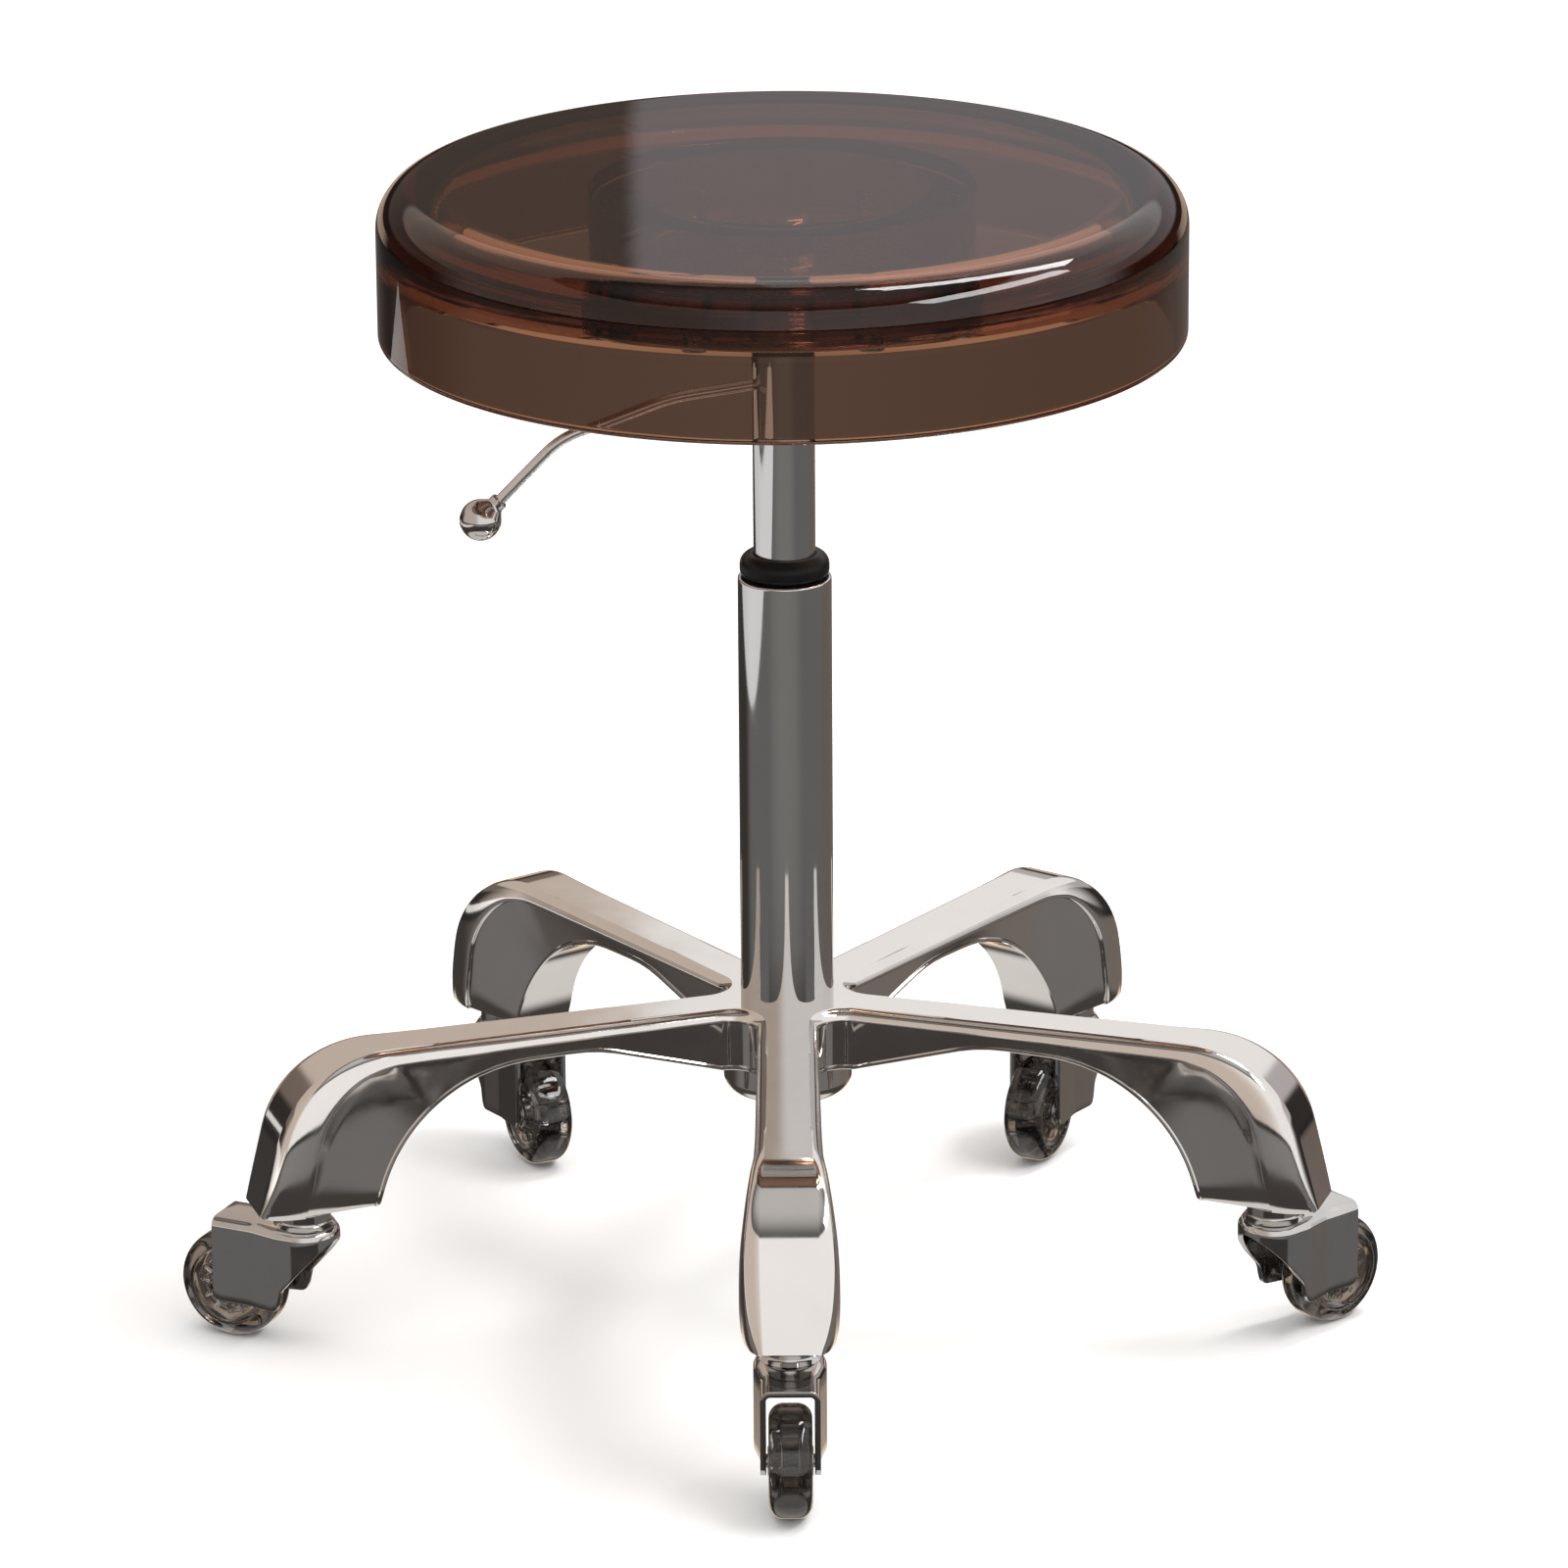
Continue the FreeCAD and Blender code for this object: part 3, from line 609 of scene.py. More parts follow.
def sweep(shape: bmesh.types.BMesh, path: list[Vector], radius: float, segments: int) -> None:
    """Adds a round rod along a line in the XZ plane.

    Args:
        shape: mesh that takes it.
        path: the rod's middle line, as (x, z) points.
        radius: the rod's radius.
        segments: steps round the rod.
    """
    rows = []
    for i, spot in enumerate(path):
        ahead = (path[min(i + 1, len(path) - 1)] - path[max(i - 1, 0)]).normalized()
        row = []
        for k in range(segments):
            a = 2 * math.pi * k / segments
            out = radius * math.cos(a)
            row.append(Vector((spot.x - ahead.y * out, radius * math.sin(a), spot.y + ahead.x * out)))
        rows.append(row)
    rings = skin(shape, rows, closed=True)
    shape.faces.new(rings[0])
    shape.faces.new(rings[-1])


def linked(name: str, data: bpy.types.ID) -> bpy.types.Object:
    """Makes an object of mesh, camera or lamp data, and adds it to the scene."""
    thing = bpy.data.objects.new(name, data)
    bpy.context.scene.collection.objects.link(thing)
    return thing


def from_millimetres(name: str, shape: bmesh.types.BMesh) -> bpy.types.Object:
    """Makes an object, in metres at the origin, of a mesh in millimetres, and frees the mesh."""
    bmesh.ops.scale(shape, vec=(MM, MM, MM), verts=shape.verts)
    mesh = bpy.data.meshes.new(name)
    shape.to_mesh(mesh)
    shape.free()
    return linked(name, mesh)


def to_millimetres(piece: bpy.types.Object) -> bmesh.types.BMesh:
    """Takes a piece's mesh back into millimetres, and removes the piece."""
    shape = bmesh.new()
    shape.from_mesh(piece.data)
    bmesh.ops.scale(shape, vec=(1 / MM, 1 / MM, 1 / MM), verts=shape.verts)
    bpy.data.objects.remove(piece)
    return shape


def new_piece(name: str, shape: bmesh.types.BMesh, sharp: float = SHARP_ANGLE) -> bpy.types.Object:
    """Makes a smooth-shaded object of a mesh in millimetres, and frees the mesh.

    Args:
        name: the object's name.
        shape: its mesh.
        sharp: edges that turn by more degrees than this stay sharp.

    Returns:
        The new object, in metres at the origin.
    """
    bmesh.ops.remove_doubles(shape, verts=shape.verts, dist=WELD_DISTANCE)
    bmesh.ops.recalc_face_normals(shape, faces=shape.faces)
    piece = from_millimetres(name, shape)
    smooth(piece, sharp)
    return piece


def smooth(piece: bpy.types.Object, sharp: float = SHARP_ANGLE) -> None:
    """Shades a piece smooth, but for edges that turn by more than this many degrees."""
    piece.data.shade_smooth()
    piece.data.set_sharp_from_angle(angle=math.radians(sharp))


def bake(piece: bpy.types.Object) -> None:
    """Turns what a piece's modifiers make into its plain mesh."""
    graph = bpy.context.evaluated_depsgraph_get()
    mesh = bpy.data.meshes.new_from_object(piece.evaluated_get(graph))
    piece.modifiers.clear()
    piece.data = mesh


def placed_copy(piece: bpy.types.Object, name: str, place: Matrix) -> bpy.types.Object:
    """Copies a piece, with the copy's place in its mesh.

    Args:
        piece: object to copy.
        name: the copy's name.
        place: where it goes, in millimetres.

    Returns:
        The new object at the origin.
    """
    mesh = piece.data.copy()
    mesh.transform(Matrix.Translation(place.translation * MM) @ place.to_3x3().to_4x4())
    return linked(name, mesh)


def settle(piece: bpy.types.Object, body: str, finish: Finish, *nodes: str) -> None:
    """Finishes a piece, fixes it to its body and lets it stand for CAD nodes.

    Args:
        piece: the finished mesh object.
        body: CAD body that it moves with.
        finish: its material.
        nodes: CAD nodes that it replaces.
    """
    piece.data.materials.clear()
    piece.data.materials.append(finish.material())
    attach(piece, body)
    if nodes:
        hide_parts(*nodes)
    LOG.info("%s: %s, rides on %s, %d faces", piece.name, finish.name, body, len(piece.data.polygons))


def node_span(node: str) -> tuple[Vector, Vector]:
    """Gives a CAD node's lowest and highest corners in millimetres."""
    low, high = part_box(node)
    return low / MM, high / MM


class RingOfCopies:
    """Geometry Nodes tree that sets copies of a mesh round a circle, all facing outwards."""

    COUNT = "Count"
    RADIUS = "Circle radius"
    MATERIAL = "Material"

    def __init__(self) -> None:
        """Builds the tree with its named inputs."""
        self.tree = bpy.data.node_groups.new("ring of copies", "GeometryNodeTree")
        face = self.tree.interface
        face.new_socket("Geometry", in_out="INPUT", socket_type="NodeSocketGeometry")
        face.new_socket(self.COUNT, in_out="INPUT", socket_type="NodeSocketInt")
        face.new_socket(self.RADIUS, in_out="INPUT", socket_type="NodeSocketFloat")
        face.new_socket(self.MATERIAL, in_out="INPUT", socket_type="NodeSocketMaterial")
        face.new_socket("Geometry", in_out="OUTPUT", socket_type="NodeSocketGeometry")
        given = add_node(self.tree, "NodeGroupInput").outputs
        circle = add_node(
            self.tree, "GeometryNodeMeshCircle",
            links={"Vertices": given[self.COUNT], "Radius": given[self.RADIUS]},
        ).outputs["Mesh"]
        where = add_node(self.tree, "GeometryNodeInputPosition").outputs["Position"]
        outwards = add_node(
            self.tree, "FunctionNodeAlignRotationToVector",
            settings={"axis": "X", "pivot_axis": "Z"}, links={"Vector": where},
        ).outputs["Rotation"]
        copies = add_node(
            self.tree, "GeometryNodeInstanceOnPoints",
            links={"Points": circle, "Instance": given["Geometry"], "Rotation": outwards},
        ).outputs["Instances"]
        real = add_node(
            self.tree, "GeometryNodeRealizeInstances", links={"Geometry": copies},
        ).outputs["Geometry"]
        dressed = add_node(
            self.tree, "GeometryNodeSetMaterial",
            links={"Geometry": real, "Material": given[self.MATERIAL]},
        ).outputs["Geometry"]
        add_node(self.tree, "NodeGroupOutput", links={"Geometry": dressed})

    def repeat(self, piece: bpy.types.Object, count: int, radius: float, finish: Finish) -> None:
        """Replaces a piece's mesh by a ring of copies of it.

        Args:
            piece: object whose mesh is one copy, about the circle's middle.
            count: how many copies.
            radius: the circle's radius.
            finish: material of the copies.
        """
        wanted = {self.COUNT: count, self.RADIUS: radius * MM, self.MATERIAL: finish.material()}
        modifier = piece.modifiers.new("ring of copies", "NODES")
        modifier.node_group = self.tree
        for socket in self.tree.interface.items_tree:
            if socket.in_out == "INPUT" and socket.name in wanted:
                modifier[socket.identifier] = wanted[socket.name]
        bake(piece)


@dataclass
class Seat:
    """The clear shell with its ring, and the flange and post that carry it."""

    edge_radius: float = 18.0
    cove_radius: float = 27.0    # inside the edge, where the moulding is thickest
    top_wall: float = 7.0
    skirt_wall: float = 6.0
    lip_radius: float = 2.5
    bond_depth: float = 0.2      # ring sunk into the shell's top, so that no air shows between them
    ring_wall: float = 20.0
    ring_round: float = 1.5
    plate_round: float = 1.2
    weld_leg: float = 5.0
    screw_count: int = 6
    screw_circle: float = 76.0
    screw_head: float = 5.5      # radius
    screw_socket: float = 2.4    # radius
    screw_shank: float = 3.0     # radius
    thread_pitch: float = 1.25
    thread_depth: float = 0.45
    thread_crest: float = 0.3    # of a pitch, before each turn
    thread_root: float = 0.2     # of a pitch, after it
    socket_edge: float = 0.3
    head_edge: float = 0.9
    screw_segments: int = 28
    post_wall: float = 2.0
    post_edge: float = 0.5
    slot_half_width: float = 3.1
    slot_below: float = 4.6      # of the lever's pivot
    slot_above: float = 5.6
    cap_round: float = 5.0
    cap_edge: float = 0.3
    segments: int = 240

    def build(self, ring_of_copies: RingOfCopies) -> None:
        """Builds and finishes the group's pieces.

        Args:
            ring_of_copies: Geometry Nodes tree for the screws.
        """
        self.shell()
        self.ring()
        self.plate()
        self.screws(ring_of_copies)
        self.post()
        self.cap()

    def shell(self) -> None:
        """Makes the seat: flat top, rolled edge, skirt, open below."""
        low, high = node_span("seat_shell")
        outer = high.x
        inner = outer - self.skirt_wall
        ceiling = high.z - self.top_wall
        piece = turned_piece("seat_moulding", [
            (0.0, ceiling, 0.0),
            (inner, ceiling, self.cove_radius),
            (inner, low.z, self.lip_radius),
            (outer, low.z, self.lip_radius),
            (outer, high.z, self.edge_radius),
            (0.0, high.z, 0.0),
        ], steps=20, segments=self.segments)
        settle(piece, "seat", TINTED_ACRYLIC, "seat_shell")

    def ring(self) -> None:
        """Makes the spacer ring that is bonded under the top."""
        low, high = node_span("seat_ring")
        outer = high.x
        inner = outer - self.ring_wall
        top = high.z + self.bond_depth
        piece = turned_piece("spacer_ring", [
            (inner, low.z, self.ring_round),
            (outer, low.z, self.ring_round),
            (outer, top, 0.0),
            (inner, top, 0.0),
        ], steps=6, segments=self.segments, closed=True)
        settle(piece, "seat", PALE_ACRYLIC, "seat_ring")

    def plate(self) -> None:
        """Makes the flange, with a weld round the post."""
        low, high = node_span("mount_plate")
        outer = high.x
        inner = node_span("seat_post")[1].x
        piece = turned_piece("post_flange", [
            (inner, low.z - self.weld_leg, 0.0),
            (inner + self.weld_leg, low.z, self.weld_leg),
            (outer, low.z, self.plate_round),
            (outer, high.z, self.plate_round),
            (inner + self.weld_leg, high.z, self.weld_leg),
            (inner, high.z + self.weld_leg, 0.0),
        ], steps=6, segments=self.segments, closed=True)
        settle(piece, "seat", CHROME_SATIN, "mount_plate")

    def screws(self, ring_of_copies: RingOfCopies) -> None:
        """Makes the socket screws under the flange, with threads in the ring.

        Args:
            ring_of_copies: Geometry Nodes tree that repeats one screw.
        """
        low, high = node_span("plate_screws")
        seat_z = node_span("mount_plate")[0].z
        socket_top = (low.z + seat_z) / 2
        profile = rounded([
            (0.0, socket_top, 0.0),
            (self.screw_socket, socket_top, 0.0),
            (self.screw_socket, low.z, self.socket_edge),
            (self.screw_head, low.z, self.head_edge),
            (self.screw_head, seat_z, 0.0),
            (self.screw_shank, seat_z, 0.0),
        ], steps=4)
        root = self.screw_shank - self.thread_depth
        turns = int((high.z - seat_z) / self.thread_pitch)
        for k in range(1, turns):
            z = seat_z + k * self.thread_pitch
            profile.append(Vector((self.screw_shank, z - self.thread_crest * self.thread_pitch)))
            profile.append(Vector((root, z + self.thread_root * self.thread_pitch)))
        profile.append(Vector((root, high.z)))
        profile.append(Vector((0.0, high.z)))
        shape = bmesh.new()
        turn(shape, profile, self.screw_segments)
        piece = new_piece("flange_screws", shape, sharp=30.0)
        ring_of_copies.repeat(piece, self.screw_count, self.screw_circle, TURNED_STEEL)
        settle(piece, "seat", TURNED_STEEL, "plate_screws")

    def post(self) -> None:
        """Makes the sliding tube, with the slot that the lever passes through."""
        low, high = node_span("seat_post")
        outer = high.x
        inner = outer - self.post_wall
        piece = turned_piece("sliding_post", [
            (inner, low.z, self.post_edge),
            (outer, low.z, self.post_edge),
            (outer, high.z, 0.0),
            (inner, high.z, 0.0),
        ], steps=4, segments=128, closed=True)
        pivot = joint_place("lever_press")
        cutter_shape = bmesh.new()
        bmesh.ops.create_cube(cutter_shape, size=1.0)
        size = Vector((outer, 2 * self.slot_half_width, self.slot_below + self.slot_above))
        middle = Vector((pivot.x - size.x / 2, 0.0, pivot.z + (self.slot_above - self.slot_below) / 2))
        bmesh.ops.transform(
            cutter_shape, matrix=Matrix.Translation(middle) @ Matrix.Diagonal((*size, 1.0)),
            verts=cutter_shape.verts,
        )
        cutter = new_piece("slot_cutter", cutter_shape)
        cut = piece.modifiers.new("lever slot", "BOOLEAN")
        cut.operation = "DIFFERENCE"
        cut.solver = "EXACT"
        cut.object = cutter
        bake(piece)
        smooth(piece)
        bpy.data.objects.remove(cutter)
        settle(piece, "seat", CHROME_TUBE, "seat_post")

    def cap(self) -> None:
        """Makes the domed cap on the post's end."""
        low, high = node_span("post_cap")
        rim_z = node_span("seat_post")[1].z
        outer = high.x
        inner = outer - self.post_wall
        piece = turned_piece("post_dome", [
            (0.0, low.z, 0.0),
            (inner, low.z, 0.0),
            (inner, rim_z, 0.0),
            (outer, rim_z, self.cap_edge),
            (outer, high.z, self.cap_round),
            (0.0, high.z, 0.0),
        ], steps=10, segments=96)
        settle(piece, "seat", CHROME_TUBE, "post_cap")


def joint_place(name: str) -> Vector:
    """Gives the point that a joint's axis passes through, in millimetres."""
    joint = next(j for j in frame["joints"] if j["name"] == name)
    return Vector(joint["pos_m"]) / MM


@dataclass
class Lever:
    """The bent height lever with its ball."""

    tip: float = 3.0                # past the post's axis
    bends: tuple[Corner, ...] = (   # x, height over the pivot, bend's radius
        (-50.0, -6.5, 80.0), (-100.0, -26.0, 40.0),
    )
    knob: tuple[float, float] = (-136.0, -63.5)
    ball_radius: float = 9.5
    neck_radius: float = 4.0
    neck_length: float = 13.0
    neck_fillet: float = 2.5
    neck_blend: Keys = ((0.5, 0.3), (0.0, 1.2))   # out from the neck, past the ball's rim
    neck_chamfer: float = 0.6
    ball_steps: int = 40
    ball_segments: int = 64
    rod_segments: int = 32

    def build(self) -> None:
        """Builds and finishes the rod and the ball."""
        pivot = joint_place("lever_press")
        low, high = node_span("lever_rod")
        radius = min(high.y, -low.y)
        first_x, first_rise, _ = self.bends[0]
        tip_rise = first_rise * (self.tip - pivot.x) / (first_x - pivot.x)
        corners = [(self.tip, pivot.z + tip_rise, 0.0)]
        corners += [(x, pivot.z + rise, bend) for x, rise, bend in self.bends]
        end = Vector((self.knob[0], pivot.z + self.knob[1]))
        corners.append((end.x, end.y, 0.0))
        shape = bmesh.new()
        sweep(shape, rounded(corners, steps=20), radius, self.rod_segments)
        settle(new_piece("lever_bent_rod", shape), "lever", CHROME_SATIN, "lever_rod")

        last = Vector(corners[-2][:2])
        inward = (last - end).normalized()
        side = math.sqrt(self.ball_radius ** 2 - self.neck_radius ** 2)
        angles = [math.pi * k / self.ball_steps for k in range(self.ball_steps + 1)]
        ball = [Vector((self.ball_radius * math.sin(a), -self.ball_radius * math.cos(a))) for a in angles]
        profile = [spot for spot in ball if spot.y < side - self.neck_fillet]
        profile += [Vector((self.neck_radius + out, side + past)) for out, past in self.neck_blend]
        profile += [
            Vector((self.neck_radius, self.neck_length - self.neck_chamfer)),
            Vector((self.neck_radius - self.neck_chamfer, self.neck_length)),
            Vector((0.0, self.neck_length)),
        ]
        lean = Vector((inward.x, 0.0, inward.y)).to_track_quat("Z", "Y").to_matrix().to_4x4()
        shape = bmesh.new()
        turn(shape, profile, self.ball_segments, Matrix.Translation((end.x, 0.0, end.y)) @ lean)
        settle(new_piece("lever_ball", shape), "lever", CHROME_PRESSING, "lever_knob")


@dataclass
class Column:
    """The fixed tube with the wiper at its mouth."""

    wall: float = 2.0
    lip_round: float = 0.9
    wiper_round: float = 5.2
    wiper_foot: float = 3.6
    wiper_mouth: float = 0.6
    wiper_clearance: float = 0.05

    def build(self) -> None:
        """Builds and finishes the tube and the wiper."""
        low, high = node_span("column_tube")
        outer = high.x
        piece = turned_piece("column_sleeve", [
            (outer - self.wall, low.z, 0.0),
            (outer, low.z, 0.0),
            (outer, high.z, self.lip_round),
            (outer - self.wall, high.z, self.lip_round),
        ], steps=6, segments=160, closed=True)
        settle(piece, "base", CHROME_TUBE, "column_tube")

        low, high = node_span("wiper_ring")
        outer = high.x
        bore = node_span("seat_post")[1].x + self.wiper_clearance
        piece = turned_piece("column_wiper", [
            (bore, low.z, 0.0),
            (outer, low.z, self.wiper_foot),
            (outer, high.z, self.wiper_round),
            (bore, high.z, self.wiper_mouth),
        ], steps=12, segments=128, closed=True)
        settle(piece, "base", NITRILE_RUBBER, "wiper_ring")


@dataclass
class StarBase:
    """The casting: a hub, and five arms that bend down to wide feet.

    An arm is a row of ribs. Each rib runs from the arm's middle over the flat and the lip, in under
    the bead, down the recessed side to the lower bead, and back under the arm to its middle. Keys are
    given along the arm's top line, from the column's axis to the sole.
    """

    arm_count: int = 5
    first_azimuth: float = 270.0
    arm_half_width: float = 13.75
    crotch_radius: float = 12.0
    shoulder_radius: float = 52.0
    shoulder_lean: float = 19.0
    root_depth: float = 29.0
    waist: tuple[float, float] = (95.0, 12.0)      # distance from the axis, depth
    heel: tuple[float, float] = (183.0, 14.0)
    heel_radius: float = 76.0
    foot_length: float = 56.0
    fan_start: float = 150.0     # ribs stand upright up to here, then fan round to the sole
    lip: Keys = (
        (35.4, 13.75), (127.0, 14.4), (193.0, 15.3), (211.0, 17.1), (226.0, 18.8), (239.0, 20.2),
        (250.0, 21.2), (262.0, 21.8), (278.0, 22.0), (288.0, 21.7), (294.0, 21.0), (299.0, 19.6),
    )
    flat: Keys = (
        (35.4, 9.2), (127.0, 9.7), (193.0, 10.6), (226.0, 12.6), (244.0, 13.2), (260.0, 13.2),
        (276.0, 12.8), (299.0, 11.8),
    )
    blade: Keys = (              # flat share of the lip, beside the panel on the foot
        (35.4, 0.0), (180.0, 0.0), (210.0, 0.3), (235.0, 0.62), (262.0, 0.68), (280.0, 0.55), (292.0, 0.3),
        (299.0, 0.06),
    )
    shell: Keys = (
        (35.4, 5.0), (139.0, 6.0), (174.0, 7.4), (210.0, 10.4), (235.0, 14.0), (262.0, 17.0),
        (280.0, 18.4), (299.0, 19.0),
    )
    underside: Keys = (
        (35.4, 11.6), (150.0, 12.2), (226.0, 12.8), (260.0, 13.6), (285.0, 14.4), (299.0, 14.0),
    )
    channel: Keys = ((40.0, 0.0), (58.0, 5.5), (120.0, 5.5), (146.0, 0.0))
    crease: float = 16.0         # degrees, where the lip leaves the flat
    blade_bulge: float = 0.1
    blade_run_out: float = 1.12  # steepens the lip's round where it takes over from the blade
    recess: float = 1.8
    tuck: Keys = ((0.1, 0.5), (0.9, 0.9), (1.8, 1.0))   # inset and drop, in under the lip to the recess
    tuck_depth: float = 1.5
    bead: float = 0.8
    rim_height: float = 2.2
    rim_width: float = 3.0
    rim_round: float = 0.5
    support: float = 0.6
    flat_shares: tuple[float, ...] = (0.0, 0.35, 0.7)   # points across the flat
    sole_round: float = 1.0
    barrel_setback: float = 0.6
    barrel_round: float = 7.0
    barrel_lip: float = 0.8
    barrel_segments: int = 96
    hub_height: float = 45.0
    hub_steps: int = 14
    bored_share: float = 0.7     # of the hub's ribs
    straight_steps: int = 16
    fan_steps: int = 60
    lip_steps: int = 9
    wall_steps: int = 6
    shoulder_steps: int = 48
    heel_steps: int = 40

    @property
    def half_step(self) -> float:
        """Half the angle between two arms, in radians."""
        return math.pi / self.arm_count

    @property
    def straight_start(self) -> float:
        """Distance from the axis where an arm's sides begin to run straight."""
        return (self.arm_half_width + self.crotch_radius) / math.tan(self.half_step)

    def build(self) -> None:
        """Builds and finishes the casting."""
        low, high = node_span("star_base")
        self.top = high.z
        self.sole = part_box("swivel_washers")[1].z / MM
        self.reach = -low.y
        self.bore = node_span("column_tube")[1].x
        ribs = self.hub_ribs() + self.arm_ribs()
        shape = bmesh.new()
        for arm in range(self.arm_count):
            azimuth = math.radians(self.first_azimuth + 360.0 * arm / self.arm_count)
            for side in (1.0, -1.0):
                place = Matrix.Rotation(azimuth, 4, "Z") @ Matrix.Diagonal((1.0, side, 1.0, 1.0))
                self.half_arm(shape, ribs, place)
        bmesh.ops.remove_doubles(shape, verts=shape.verts, dist=WELD_DISTANCE)
        rims = [edge for edge in shape.edges if edge.is_boundary]
        bmesh.ops.holes_fill(shape, edges=rims, sides=0)
        self.barrel(shape)
        settle(new_piece("star_casting", shape, sharp=34.0), "base", BUFFED_ALUMINIUM, "star_base")

    def half_arm(self, shape: bmesh.types.BMesh, ribs: list[list[Vector]], place: Matrix) -> None:
        """Skins the ribs of half an arm and its share of the hub.

        Args:
            shape: mesh that takes the faces.
            ribs: points of each rib, from the hub's crotch to the sole.
            place: turns or mirrors the half into its place.
        """
        grid = skin(shape, [[place @ spot for spot in rib] for rib in ribs])
        bored = self.bored_steps() + 1
        for near, far in zip(grid[:bored], grid[1:bored]):
            shape.faces.new((near[0], far[0], far[-1], near[-1]))

    def bored_steps(self) -> int:
        """Counts the hub's ribs that start on the column's bore; the rest start on the arm's middle."""
        return round(self.bored_share * self.hub_steps)

    def section(self, place: float, depth: float) -> list[tuple[float, float]]:
        """Draws a rib's outer part.

        Args:
            place: distance along the arm's top line.
            depth: from the arm's top to its underside.

        Returns:
            Points as (inset from the lip's widest line, depth), from the flat's edge to the channel.
        """
        width = between_keys(self.lip, place) - between_keys(self.flat, place)
        shell = between_keys(self.shell, place)
        slope = math.tan(math.radians(self.crease))
        blade = width * between_keys(self.blade, place)
        round_width = width - blade
        round_depth = shell - blade * slope
        start = math.atan(self.blade_run_out * slope * round_width / round_depth)
        points = [
            (width + self.support, 0.0),
            (width, 0.0),
            (width - (blade + self.blade_bulge) / 2, blade * slope / 2),
        ]
        for k in range(self.lip_steps + 1):
            a = start + (math.pi / 2 - start) * k / self.lip_steps
            across = (math.sin(a) - math.sin(start)) / (1.0 - math.sin(start))
            down = (math.cos(start) - math.cos(a)) / math.cos(start)
            bulge = self.blade_bulge if k == 0 else 0.0
            points.append((round_width * (1.0 - across) - bulge, blade * slope + round_depth * down))
        points += [(inset, shell + drop) for inset, drop in self.tuck]
        wall_top = shell + self.tuck_depth
        wall_end = depth - self.rim_height
        inset = between_keys(self.lip, place) - between_keys(self.underside, place)
        for k in range(self.wall_steps + 1):
            share = k / self.wall_steps
            narrowing = self.recess + (inset - self.recess) * share
            points.append((narrowing, wall_top + (wall_end - wall_top) * share))
        points += [
            (inset - self.bead, depth - self.rim_height + self.rim_round),
            (inset - self.bead, depth - self.rim_round),
            (inset - self.bead + self.rim_round, depth),
            (inset + self.rim_width, depth),
            (inset + self.rim_width + self.support, depth - between_keys(self.channel, place)),
        ]
        return points

    def hub_ribs(self) -> list[list[Vector]]:
        """Draws the ribs from the crotch between two arms to where the arm's sides run straight."""
        half_step = self.half_step
        centre_x = self.straight_start
        centre = Vector((centre_x, self.arm_half_width + self.crotch_radius, self.top))
        down = Vector((0.0, 0.0, -1.0))
        bored = self.bored_steps()
        ribs = []
        for k in range(self.hub_steps):
            a = -math.pi / 2 - (math.pi / 2 - half_step) * (1.0 - k / self.hub_steps)
            inward = Vector((math.cos(a), math.sin(a), 0.0))
            edge = centre + inward * self.crotch_radius
            if k <= bored:
                around = half_step * (1.0 - k / bored)
                start = Vector((self.bore * math.cos(around), self.bore * math.sin(around), self.top))
            else:
                share = (k - bored) / (self.hub_steps - bored)
                start = Vector((self.bore + (centre_x - self.bore) * share, 0.0, self.top))
            ribs.append(self.rib(start, edge, -inward, down, self.root_depth, centre_x))
        return ribs

    def arm_ribs(self) -> list[list[Vector]]:
        """Draws the ribs from the hub along the arm and round the shoulder to the sole."""
        first = self.straight_start
        sole_edge = self.sole + self.sole_round
        top_line = rounded([
            (self.fan_start, self.top, 0.0),
            (self.reach - self.shoulder_lean, self.top, self.shoulder_radius),
            (self.reach, sole_edge, 0.0),
        ], steps=self.shoulder_steps)
        under_line = rounded([
            (first, self.top - self.root_depth, 0.0),
            (self.waist[0], self.top - self.waist[1], self.heel_radius),
            (self.heel[0], self.top - self.heel[1], self.heel_radius),
            (self.reach - self.foot_length, sole_edge, 0.0),
        ], steps=self.heel_steps)
        ribs = []
        for k in range(self.straight_steps):
            x = first + (self.fan_start - first) * k / self.straight_steps
            ribs.append(self.arm_rib(Vector((x, self.top)), Vector((x, height_at(under_line, x))), x))
        under_start = Vector((self.fan_start, height_at(under_line, self.fan_start)))
        under_fan = [under_start] + [spot for spot in under_line if spot.x > self.fan_start]
        tops = along(top_line, self.fan_steps)
        unders = along(under_fan, self.fan_steps)
        place = self.fan_start
        for k, (top, under) in enumerate(zip(tops, unders)):
            place += (top - tops[max(k - 1, 0)]).length
            ribs.append(self.arm_rib(top, under, place))
        ribs.append([self.sole_edge(spot) for spot in ribs[-1]])
        return ribs

    def sole_edge(self, spot: Vector) -> Vector:
        """Moves a point of the last rib in and down onto the sole, to round the sole's edge."""
        middle = Vector((self.reach - self.foot_length / 2, 0.0, spot.z))
        inward = (middle - spot).normalized() * self.sole_round
        return Vector((spot.x + inward.x, spot.y + (inward.y if spot.y else 0.0), self.sole))

    def arm_rib(self, top: Vector, under: Vector, place: float) -> list[Vector]:
        """Draws one rib of an arm.

        Args:
            top: (distance, height) of the arm's top line.
            under: the same of its underside.
            place: distance along the top line.

        Returns:
            The rib's points, in the arm's own frame.
        """
        start = Vector((top.x, 0.0, top.y))
        fall = Vector((under.x - top.x, 0.0, under.y - top.y))
        out = Vector((0.0, 1.0, 0.0))
        edge = start + out * between_keys(self.lip, place)
        return self.rib(start, edge, out, fall.normalized(), fall.length, place)

